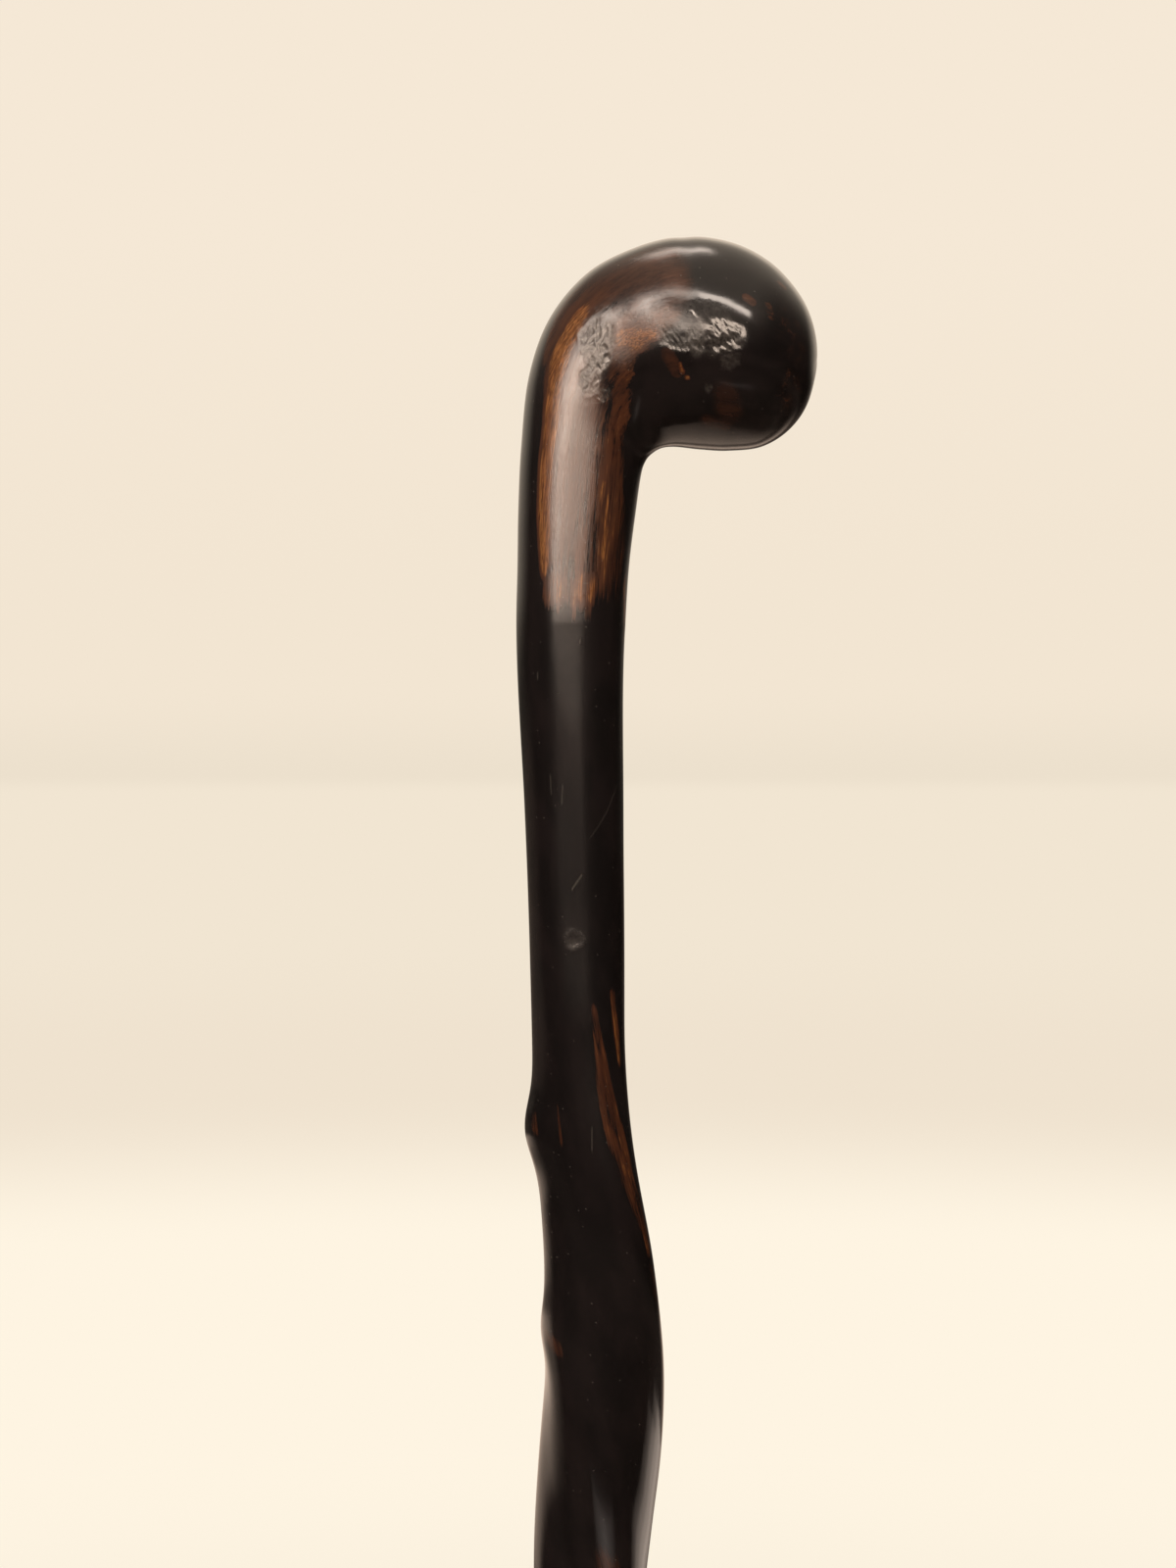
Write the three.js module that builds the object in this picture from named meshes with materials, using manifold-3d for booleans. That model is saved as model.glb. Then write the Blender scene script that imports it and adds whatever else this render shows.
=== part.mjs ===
// Spiral wooden cane: a root-knob stick in one piece of wood, with a nailed brass ferrule.
// Millimetres, +Z up. The foot's wear face lies on z = 0, and the knob points along +X.
// A bearing is an angle about Z, from the front (-Y) toward the knob's side (+X).
// A drop is a distance straight down from the crown of the knob.

import * as THREE from 'three';
import Module from 'manifold-3d';
import { mergeVertices } from 'three/addons/utils/BufferGeometryUtils.js';

// Whole cane
const caneHeight = 900;
const leanSlope = 0.0171;
const seatGap = 0.3;

// Ferrule
const ferruleLength = 38;
const ferruleTopDiameter = 20.6;
const ferruleFootDiameter = 18.2;
const ferruleWall = 0.9;
const beadDiameter = 1.6;
const wearDepth = 2.4;
const wearRoundRadius = 1.4;
const bossDepth = 4.5;

// Ferrule nails
const nailHeight = 27;
const nailLength = 8;
const nailDiameter = 1.4;
const nailHeadDiameter = 3.4;
const nailHeadHeight = 0.9;
const nailPointLength = 2;

// Bare shaft: its half width and its sideways sway off the leaning axis
const shaftStations = [
  { drop: 65, radius: 14.8, sway: 2.0 },
  { drop: 100, radius: 13.4, sway: -0.2 },
  { drop: 140, radius: 12.3, sway: 0.0 },
  { drop: 185, radius: 11.8, sway: 0.2 },
  { drop: 230, radius: 11.8, sway: 0.0 },
  { drop: 280, radius: 14.0, sway: 0.0 },
  { drop: 330, radius: 14.2, sway: 0.0 },
];

// Left-handed twist: the spiral opens slowly under the grip, then keeps one pitch to the foot
const twistStartDrop = 158;
const twistEaseLength = 178;
const firstPitch = 1290;
const fullPitch = 219;
const ridgeHeight = 2.4;
const ridgeSharpness = 6;
const grooveDepth = 0.8;
const grooveSharpness = 2.9;
const grooveBearing = -80;
const threeSidedness = 0.6;
const threeSidedBearing = 19;
const fourSidedness = 0.5;
const fourSidedBearing = 46;
const sectionEaseLength = 90;

// The whole shaft also winds about its axis like a corkscrew
const windRadius = 3.75;
const windStartDrop = 193;
const windEaseLength = 58;
const footEaseLength = 120;

// Trimmed side knots
const knotSharpness = 6;
const knots = [
  { drop: 218, bearing: 270, height: 2.6, length: 9 },
  { drop: 266, bearing: 263, height: 1.7, length: 8 },
  { drop: 371, bearing: 35, height: 2.2, length: 9 },
  { drop: 452, bearing: 205, height: 1.8, length: 8 },
  { drop: 547, bearing: 100, height: 2.0, length: 9 },
  { drop: 668, bearing: 310, height: 1.6, length: 7 },
];

// Handle ribs, from the neck round to the nose of the knob. Each has its end on the outside of
// the bend and its end in the crook: a reach from the shaft's axis at crown level, and a drop.
// Its thickness is the oval's other width, front to back.
const neckDrop = 95;
const handleRibs = [
  { outer: [-11.7, 80], inner: [16.1, 80], thickness: 27.2 },
  { outer: [-11.5, 66], inner: [17.8, 66], thickness: 27.3 },
  { outer: [-10.8, 51], inner: [19.0, 57.8], thickness: 27.6 },
  { outer: [-8.9, 33.8], inner: [20.1, 54.6], thickness: 28.4 },
  { outer: [-3.8, 19.6], inner: [21.7, 52.8], thickness: 30.4 },
  { outer: [5.5, 8.6], inner: [24.1, 51.5], thickness: 35 },
  { outer: [17.3, 2.5], inner: [27.4, 51.2], thickness: 42.6 },
  { outer: [28.8, 0], inner: [33.4, 51.8], thickness: 48.6 },
  { outer: [40.4, 1.4], inner: [40.4, 52.1], thickness: 50 },
  { outer: [50.0, 6.1], inner: [48.6, 51.1], thickness: 45 },
  { outer: [57.1, 13.4], inner: [55.4, 46.9], thickness: 33.6 },
  { outer: [60.9, 21.1], inner: [60.0, 40.1], thickness: 19 },
];
const noseReach = 62.0;
const noseDrop = 30;

// Fineness of the faceted stick
const pointsAround = 30;
const shaftRingSpacing = 7;
const ringsPerRib = 3;

// Sizes that follow from the ones above
const ferruleTop = wearDepth + ferruleLength;
const shoulderHeight = ferruleTop + seatGap;
const tipRadius = ferruleTopDiameter / 2;
const bossTop = wearDepth + bossDepth;
const neckHeight = caneHeight - neckDrop;
const fullTurn = 2 * Math.PI;

const radians = THREE.MathUtils.degToRad;
const ease = THREE.MathUtils.smoothstep;
const mix = THREE.MathUtils.lerp;

// The ferrule's outside radius at a height, along its straight taper
function ferruleRadius(height) {
  const share = (height - wearDepth) / ferruleLength;
  return mix(ferruleFootDiameter, ferruleTopDiameter, share) / 2;
}

// The turned end of the stick fills the ferrule with a small clearance
function spigotRadius(height) {
  return ferruleRadius(height) - ferruleWall - seatGap;
}

// Where the middle of the shaft would be without sway or winding
function axisX(height) {
  return -leanSlope * Math.max(height - ferruleTop, 0);
}

// A smooth curve through one value of the stations, with the foot as the last of them
function alongShaft(key, footValue, drop) {
  const footStation = { drop: caneHeight - shoulderHeight, [key]: footValue };
  const line = [...shaftStations, footStation];
  const last = line.length - 1;
  const found = line.findIndex((station) => station.drop > drop);
  const index = THREE.MathUtils.clamp(found < 0 ? last - 1 : found - 1, 0, last - 1);
  const slope = (at) => {
    const before = line[Math.max(at - 1, 0)];
    const after = line[Math.min(at + 1, last)];
    return (after[key] - before[key]) / (after.drop - before.drop);
  };
  const span = line[index + 1].drop - line[index].drop;
  const t = (drop - line[index].drop) / span;
  const startPart = (1 + 2 * t) * (1 - t) ** 2 * line[index][key];
  const endPart = (3 - 2 * t) * t ** 2 * line[index + 1][key];
  const startTurn = t * (1 - t) ** 2 * span * slope(index);
  const endTurn = (t - 1) * t ** 2 * span * slope(index + 1);
  return startPart + endPart + startTurn + endTurn;
}

// The bearing of the spiral ridge, in radians: its turns per millimetre grow evenly
// from the first pitch to the full pitch, then stay
function ridgeBearing(drop) {
  const run = Math.max(drop - twistStartDrop, 0);
  const eased = Math.min(run, twistEaseLength);
  const growth = (1 / fullPitch - 1 / firstPitch) / twistEaseLength;
  const easedTurns = eased / firstPitch + (growth * eased ** 2) / 2;
  return fullTurn * (easedTurns + (run - eased) / fullPitch);
}

// A rounded hump round the section, 1 at its own bearing
function hump(angle, sharpness) {
  return Math.exp(sharpness * (Math.cos(angle) - 1));
}

// One ring of points round the shaft, turned with the twist
function shaftRing(height) {
  const drop = caneHeight - height;
  const twist = ridgeBearing(drop);
  const footFade = ease(height, shoulderHeight, shoulderHeight + footEaseLength);
  const form = footFade * ease(drop, twistStartDrop, twistStartDrop + sectionEaseLength);
  const wind = windRadius * footFade * ease(drop, windStartDrop, windStartDrop + windEaseLength);
  const centre = new THREE.Vector3(
    axisX(height) + alongShaft('sway', 0, drop) + wind * Math.sin(twist),
    -wind * Math.cos(twist),
    height,
  );
  const core = alongShaft('radius', tipRadius, drop);
  return Array.from({ length: pointsAround }, (_, index) => {
    const around = (fullTurn * index) / pointsAround;
    const bearing = around + twist;
    const ridge = ridgeHeight * hump(around, ridgeSharpness);
    const groove = grooveDepth * hump(around - radians(grooveBearing), grooveSharpness);
    const threeSided = threeSidedness * Math.cos(3 * (around - radians(threeSidedBearing)));
    const fourSided = fourSidedness * Math.cos(4 * (around - radians(fourSidedBearing)));
    const swelling = form * (ridge - groove + threeSided + fourSided);
    const knot = knots.reduce((sum, each) => sum + knotHeight(each, drop, bearing), 0);
    const radius = core + swelling + knot;
    const offset = new THREE.Vector3(Math.sin(bearing), -Math.cos(bearing), 0);
    return offset.multiplyScalar(radius).add(centre);
  });
}

// How far one side knot stands out at a drop and a bearing
function knotHeight(knot, drop, bearing) {
  const along = Math.exp(-(((drop - knot.drop) / knot.length) ** 2));
  return knot.height * along * hump(bearing - radians(knot.bearing), knotSharpness);
}

// The two rails of the handle and its half thickness as smooth curves. They start on the
// shaft's own sides, and each rail runs on round the nose into the other, so the nose is round.
function handleRails() {
  const shaftSides = (drop) => {
    const middle = axisX(caneHeight - drop) + alongShaft('sway', 0, drop);
    const radius = alongShaft('radius', tipRadius, drop);
    return {
      outer: new THREE.Vector2(middle - radius, caneHeight - drop),
      inner: new THREE.Vector2(middle + radius, caneHeight - drop),
      half: radius,
    };
  };
  const place = ([reach, drop]) => {
    return new THREE.Vector2(axisX(caneHeight) + reach, caneHeight - drop);
  };
  const ribSpacing = neckDrop - handleRibs[0].outer[1];
  const start = [shaftSides(neckDrop + ribSpacing), shaftSides(neckDrop)];
  const ribs = handleRibs.map((rib) => ({
    outer: place(rib.outer),
    inner: place(rib.inner),
    half: rib.thickness / 2,
  }));
  const nose = place([noseReach, noseDrop]);
  const lastRib = ribs[ribs.length - 1];
  const rail = (side, otherSide) => {
    const shaped = [...start, ...ribs].map((rib) => rib[side]);
    return new THREE.SplineCurve([...shaped, nose, lastRib[otherSide]]);
  };
  const halves = [...start, ...ribs].map((rib) => rib.half);
  const thickness = [...halves, 0, -lastRib.half].map((half) => new THREE.Vector2(half, 0));
  return {
    outer: rail('outer', 'inner'),
    inner: rail('inner', 'outer'),
    thickness: new THREE.SplineCurve(thickness),
  };
}

// Rings of the handle, from the neck to just short of the nose: each is an oval between the
// two rails, as thick as the curve of half thicknesses says
function handleRings() {
  const rails = handleRails();
  const spans = rails.outer.points.length - 1;
  const ringCount = (spans - 2) * ringsPerRib;
  return Array.from({ length: ringCount }, (_, ring) => {
    const t = (1 + ring / ringsPerRib) / spans;
    const outer = rails.outer.getPoint(t);
    const inner = rails.inner.getPoint(t);
    const halfThickness = rails.thickness.getPoint(t).x;
    const middle = outer.clone().add(inner).multiplyScalar(0.5);
    const toCrook = inner.clone().sub(middle);
    return Array.from({ length: pointsAround }, (__, index) => {
      const around = (fullTurn * index) / pointsAround;
      const across = Math.sin(around);
      return new THREE.Vector3(
        middle.x + toCrook.x * across,
        -halfThickness * Math.cos(around),
        middle.y + toCrook.y * across,
      );
    });
  });
}

// A round ring, turned like the ring above it so that the facets line up
function spigotRing(height, radius) {
  const twist = ridgeBearing(caneHeight - shoulderHeight);
  return Array.from({ length: pointsAround }, (_, index) => {
    const bearing = (fullTurn * index) / pointsAround + twist;
    return new THREE.Vector3(radius * Math.sin(bearing), -radius * Math.cos(bearing), height);
  });
}

// Skins a stack of rings, and closes it with a point at each end
function skinRings(rings, bottom, top) {
  const around = rings[0].length;
  const points = [bottom, ...rings.flat(), top];
  const topIndex = points.length - 1;
  const faces = [];
  const at = (ring, index) => 1 + ring * around + (index % around);
  for (let index = 0; index < around; index += 1) {
    faces.push(0, at(0, index + 1), at(0, index));
    faces.push(topIndex, at(rings.length - 1, index), at(rings.length - 1, index + 1));
    for (let ring = 0; ring + 1 < rings.length; ring += 1) {
      faces.push(at(ring, index), at(ring, index + 1), at(ring + 1, index + 1));
      faces.push(at(ring, index), at(ring + 1, index + 1), at(ring + 1, index));
    }
  }
  const geometry = new THREE.BufferGeometry().setFromPoints(points);
  geometry.setIndex(faces);
  return geometry;
}

// Solid booleans
const solids = await Module();
solids.setup();

function toSolid(geometry) {
  const bare = geometry.clone();
  bare.deleteAttribute('normal');
  bare.deleteAttribute('uv');
  const merged = mergeVertices(bare);
  return new solids.Manifold(new solids.Mesh({
    numProp: 3,
    vertProperties: new Float32Array(merged.attributes.position.array),
    triVerts: new Uint32Array(merged.index.array),
  }));
}

function toGeometry(solid) {
  const mesh = solid.getMesh();
  const geometry = new THREE.BufferGeometry();
  geometry.setAttribute('position', new THREE.BufferAttribute(mesh.vertProperties, 3));
  geometry.setIndex(new THREE.BufferAttribute(mesh.triVerts, 1));
  geometry.computeVertexNormals();
  return geometry;
}

function cut(geometry, tools) {
  const result = tools.reduce((rest, tool) => rest.subtract(toSolid(tool)), toSolid(geometry));
  return toGeometry(result);
}

// Turns a profile of [radius, height] pairs about the Z axis
function turned(profile, segments = 40) {
  const points = profile.map(([radius, height]) => new THREE.Vector2(radius, height));
  return new THREE.LatheGeometry(points, segments).rotateX(Math.PI / 2);
}

// Points on an arc in a profile, angles in degrees from the outward direction
function arc(centreRadius, centreHeight, radius, from, to, steps = 6) {
  return Array.from({ length: steps + 1 }, (_, index) => {
    const angle = radians(mix(from, to, index / steps));
    return [
      centreRadius + radius * Math.cos(angle),
      centreHeight + radius * Math.sin(angle),
    ];
  });
}

// Lays a piece modelled along +Z out to the right (side 1) or to the left (side -1)
function laidOut(geometry, side) {
  return geometry.rotateY((side * Math.PI) / 2).translate(0, 0, nailHeight);
}

// The tapered brass tube with its rolled bead at the top
function makeSleeve() {
  const beadRadius = beadDiameter / 2;
  const beadHeight = ferruleTop - beadRadius;
  const profile = [
    [ferruleRadius(wearDepth) - ferruleWall, wearDepth + seatGap],
    [ferruleRadius(wearDepth), wearDepth + seatGap],
    [ferruleRadius(beadHeight - beadRadius), beadHeight - beadRadius],
    ...arc(ferruleRadius(beadHeight), beadHeight, beadRadius, -60, 90),
    [ferruleRadius(ferruleTop) - ferruleWall, ferruleTop],
    [ferruleRadius(wearDepth) - ferruleWall, wearDepth + seatGap],
  ];
  const holes = [1, -1].map((side) => nailHole(side, ferruleTopDiameter));
  return cut(turned(profile), holes);
}

// The steel wear plate that closes the tube, with a boss up inside it
function makePlug() {
  const plateRadius = ferruleRadius(wearDepth);
  const bossRadius = plateRadius - ferruleWall - seatGap;
  return turned([
    [0, 0],
    ...arc(plateRadius - wearRoundRadius, wearRoundRadius, wearRoundRadius, -90, 0),
    [plateRadius, wearDepth],
    [bossRadius, wearDepth],
    [bossRadius, bossTop],
    [0, bossTop],
  ]);
}

// A round-headed nail whose head rests on the outside of the tube
function makeNail(side) {
  const headSeat = ferruleRadius(nailHeight) + seatGap;
  const pointEnd = headSeat - nailLength;
  const shankRadius = nailDiameter / 2;
  const headRadius = nailHeadDiameter / 2;
  const domeAngle = (step) => (step * Math.PI) / 10;
  const dome = [0, 1, 2, 3, 4, 5].map((step) => [
    headRadius * Math.cos(domeAngle(step)),
    headSeat + nailHeadHeight * Math.sin(domeAngle(step)),
  ]);
  dome[dome.length - 1][0] = 0;
  const profile = [
    [0, pointEnd],
    [shankRadius, pointEnd + nailPointLength],
    [shankRadius, headSeat],
    ...dome,
  ];
  return laidOut(turned(profile, 16), side);
}

// The hole that clears a nail's shank through the tube and the wood
function nailHole(side, outwardEnd) {
  const radius = nailDiameter / 2 + seatGap;
  const inwardEnd = ferruleRadius(nailHeight) - nailLength;
  const length = outwardEnd - inwardEnd;
  const hole = new THREE.CylinderGeometry(radius, radius, length, 16).rotateX(Math.PI / 2);
  return laidOut(hole.translate(0, 0, inwardEnd + length / 2), side);
}

// Knob, neck, shaft and the turned end inside the ferrule, all one piece of wood
function makeStick() {
  const spigotEnd = bossTop + seatGap;
  const shaftLength = neckHeight - shoulderHeight;
  const shaftRingCount = Math.ceil(shaftLength / shaftRingSpacing);
  const shaftRings = Array.from({ length: shaftRingCount }, (_, ring) => {
    return shaftRing(shoulderHeight + (shaftLength * ring) / shaftRingCount);
  });
  const spigotRings = [
    spigotRing(spigotEnd, spigotRadius(spigotEnd)),
    spigotRing(shoulderHeight, spigotRadius(ferruleTop)),
  ];
  const bottom = new THREE.Vector3(0, 0, spigotEnd);
  const nose = new THREE.Vector3(axisX(caneHeight) + noseReach, 0, caneHeight - noseDrop);
  const body = skinRings([...spigotRings, ...shaftRings, ...handleRings()], bottom, nose);
  return cut(body, [1, -1].map((side) => nailHole(side, ferruleTopDiameter)));
}

function piece(name, geometry, color, roughness, metalness) {
  const material = new THREE.MeshStandardMaterial({ color, roughness, metalness });
  const mesh = new THREE.Mesh(geometry, material);
  mesh.name = name;
  return mesh;
}

const cane = new THREE.Group();
cane.add(piece('stick', makeStick(), '#1e1613', 0.3, 0));
cane.add(piece('ferrule_sleeve', makeSleeve(), '#a9894c', 0.35, 1));
cane.add(piece('ferrule_plug', makePlug(), '#6d6a66', 0.45, 1));
cane.add(piece('ferrule_nail_right', makeNail(1), '#a9894c', 0.35, 1));
cane.add(piece('ferrule_nail_left', makeNail(-1), '#a9894c', 0.35, 1));

export default cane;
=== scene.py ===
"""The looks of the spiral wooden cane: its skin of stained wood, its ferrule, floor and light.

Sizes are millimetres, as on the maker's bench, and turn to metres in the meshes; only the
studio and its lamps are in metres. The camera looks along +Y. A bearing is an angle about +Z
from the front (-Y) toward the side that the knob points to (+X), in degrees where it is a
field. A drop is a distance straight down from the crown of the knob.
"""

import logging
import math
from collections.abc import Sequence
from dataclasses import dataclass, field
from enum import Enum
from typing import Any

import bpy
import numpy as np
from mathutils import Matrix, Vector, noise


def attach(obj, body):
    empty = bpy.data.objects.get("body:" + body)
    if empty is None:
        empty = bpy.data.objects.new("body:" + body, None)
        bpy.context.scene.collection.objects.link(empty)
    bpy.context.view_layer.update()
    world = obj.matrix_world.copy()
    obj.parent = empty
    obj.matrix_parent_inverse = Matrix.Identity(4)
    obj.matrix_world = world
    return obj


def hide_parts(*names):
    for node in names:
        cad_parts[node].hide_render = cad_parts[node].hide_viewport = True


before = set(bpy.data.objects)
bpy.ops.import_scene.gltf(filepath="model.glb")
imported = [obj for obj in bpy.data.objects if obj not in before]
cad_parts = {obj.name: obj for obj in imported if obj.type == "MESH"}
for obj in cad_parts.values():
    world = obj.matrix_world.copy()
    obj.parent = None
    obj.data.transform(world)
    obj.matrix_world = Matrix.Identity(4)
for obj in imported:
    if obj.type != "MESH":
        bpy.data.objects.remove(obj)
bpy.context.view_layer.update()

LOG = logging.getLogger("cane")
MM = 0.001

Array = np.ndarray
Tree = bpy.types.NodeTree
Socket = bpy.types.NodeSocket
Material = bpy.types.Material
# A number, a socket, or a tuple of an operation's name and its terms, which are formulas too
Formula = Any


def linear(hex_colour: str) -> tuple[float, float, float, float]:
    """Turns an sRGB hex value into the linear colour that a shader wants.

    Args:
        hex_colour: Six hex digits.

    Returns:
        Linear red, green and blue, and an alpha of 1.
    """
    channels = [int(hex_colour[at : at + 2], 16) / 255 for at in (0, 2, 4)]
    red, green, blue = (
        value / 12.92 if value <= 0.04045 else ((value + 0.055) / 1.055) ** 2.4
        for value in channels
    )
    return red, green, blue, 1.0


def ease(value: Array, low: float, high: float) -> Array:
    """Smooth step from 0 at low to 1 at high, which may lie below low for a falling step."""
    share = np.clip((np.asarray(value, float) - low) / (high - low), 0, 1)
    return share * share * (3 - 2 * share)


def hump(angle: Array, sharpness: float) -> Array:
    """A rounded hump round a section, 1 at angle 0 and narrower the higher the sharpness."""
    return np.exp(sharpness * (np.cos(angle) - 1))


def add_node(
    tree: Tree,
    kind: str,
    inputs: dict[str | int, Any] | Sequence[Any] = (),
    out: str | int = 0,
    **settings: Any,
) -> Socket | None:
    """Adds a node, with its settings, and fills or links its inputs.

    Args:
        tree: The node tree that it goes into.
        kind: The node's type name, without the word ShaderNode before it.
        inputs: By name or in their order, a value, a hex colour or the socket that feeds each.
        out: The output that is wanted.
        **settings: Properties of the node itself.

    Returns:
        The socket of that output, or None for a node that ends the tree.
    """
    node = tree.nodes.new("ShaderNode" + kind)
    for name, value in settings.items():
        setattr(node, name, value)
    for key, value in inputs.items() if isinstance(inputs, dict) else enumerate(inputs):
        if isinstance(value, Socket):
            tree.links.new(value, node.inputs[key])
        else:
            node.inputs[key].default_value = linear(value) if isinstance(value, str) else value
    return node.outputs[out] if node.outputs else None


def reckon(tree: Tree, formula: Formula) -> Any:
    """Turns a formula into nodes, from its innermost terms outward.

    Args:
        tree: The node tree that they go into.
        formula: The formula. SMOOTHSTEP takes a value, its low and high limits and, where they
            aren't 0 and 1, what it gives there.

    Returns:
        The socket of the result, or the formula itself where it is a number or a socket.
    """
    if not isinstance(formula, tuple):
        return formula
    name, *terms = formula
    inputs = [reckon(tree, term) for term in terms]
    if name == "SMOOTHSTEP":
        return add_node(tree, "MapRange", inputs, interpolation_type=name)
    return add_node(tree, "Math", inputs, operation=name)


def weighted(first: Formula, *terms: tuple[Formula, float]) -> Formula:
    """A formula for a first value plus others, each with its own weight.

    Args:
        first: The value that the others are added to.
        *terms: Pairs of a value and its weight.

    Returns:
        The sum.
    """
    for value, weight in terms:
        first = ("MULTIPLY_ADD", value, weight, first)
    return first


def layered(tree: Tree, colour: str | Socket, *layers: tuple[Formula, str | Socket]) -> Socket:
    """Lays colours over a first one.

    Args:
        tree: The node tree that the nodes go into.
        colour: The lowest colour.
        *layers: Pairs of a share, 1 where the layer covers all below it, and its colour.

    Returns:
        The colour on top.
    """
    for share, over in layers:
        inputs = {0: reckon(tree, share), 6: colour, 7: over}
        colour = add_node(tree, "Mix", inputs, 2, data_type="RGBA")
    return colour


def stretched(
    tree: Tree, place: Socket, width: float, length: float, kind: str = "TexNoise", **more: float
) -> Socket:
    """A texture drawn out along Z.

    Args:
        tree: The node tree that the nodes go into.
        place: The place in the material.
        width: The width of one fleck, in the units of the place.
        length: The length of one fleck.
        kind: The texture's node.
        **more: The texture's other inputs.

    Returns:
        The texture's first output.
    """
    per_fleck = (1 / width, 1 / width, 1 / length)
    scaled = add_node(tree, "VectorMath", (place, per_fleck), operation="MULTIPLY")
    return add_node(tree, kind, {"Vector": scaled, "Scale": 1.0, **more})


def new_material(name: str) -> tuple[Material, Tree]:
    """Makes a material with an empty node tree, and gives both.

    Args:
        name: The finish's name.

    Returns:
        The material and its node tree.
    """
    material = bpy.data.materials.new(name)
    material.use_nodes = True
    material.node_tree.nodes.clear()
    return material, material.node_tree


def finish_tree(
    tree: Tree,
    colour: Socket,
    roughness: Formula,
    relief: Formula,
    strength: float,
    depth: float,
    **more: float,
) -> None:
    """Ends a material with its relief and its surface.

    Args:
        tree: The material's nodes.
        colour: Its colour.
        roughness: Its roughness.
        relief: The height of its relief, as a share of the depth.
        strength: How strongly the relief shades.
        depth: The relief's depth in millimetres.
        **more: The surface's other inputs.
    """
    bump = {"Height": reckon(tree, relief), "Strength": strength, "Distance": depth * MM}
    surface = {"Base Color": colour, "Roughness": reckon(tree, roughness), **more}
    surface["Normal"] = add_node(tree, "Bump", bump)
    add_node(tree, "OutputMaterial", {"Surface": add_node(tree, "BsdfPrincipled", surface)})


def mesh_object(
    name: str, points: Array, faces: Sequence[Sequence[int]], material: Material
) -> bpy.types.Object:
    """Makes a smooth-shaded object from points in millimetres and links it to the scene.

    Args:
        name: The piece's name.
        points: An array of x, y, z rows.
        faces: Point indices of each face.
        material: The piece's finish.

    Returns:
        The object.
    """
    mesh = bpy.data.meshes.new(name)
    mesh.from_pydata((points * MM).tolist(), [], faces)
    mesh.polygons.foreach_set("use_smooth", np.ones(len(mesh.polygons), bool))
    mesh.materials.append(material)
    mesh.update()
    made = bpy.data.objects.new(name, mesh)
    bpy.context.scene.collection.objects.link(made)
    return made


class Face(Enum):
    """The side of the cane that a mark lies on, as the sign of its outward y."""

    FRONT = -1
    BACK = 1


class Relief(Enum):
    """What kind of scar the wood carries."""

    LOPPED = "healed bark-like wrinkles where a branch was cut"
    CHIPPED = "a chipped patch with flat facets and sharp ridges"
    RING = "a small sunken ring with a raised lip"


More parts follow.
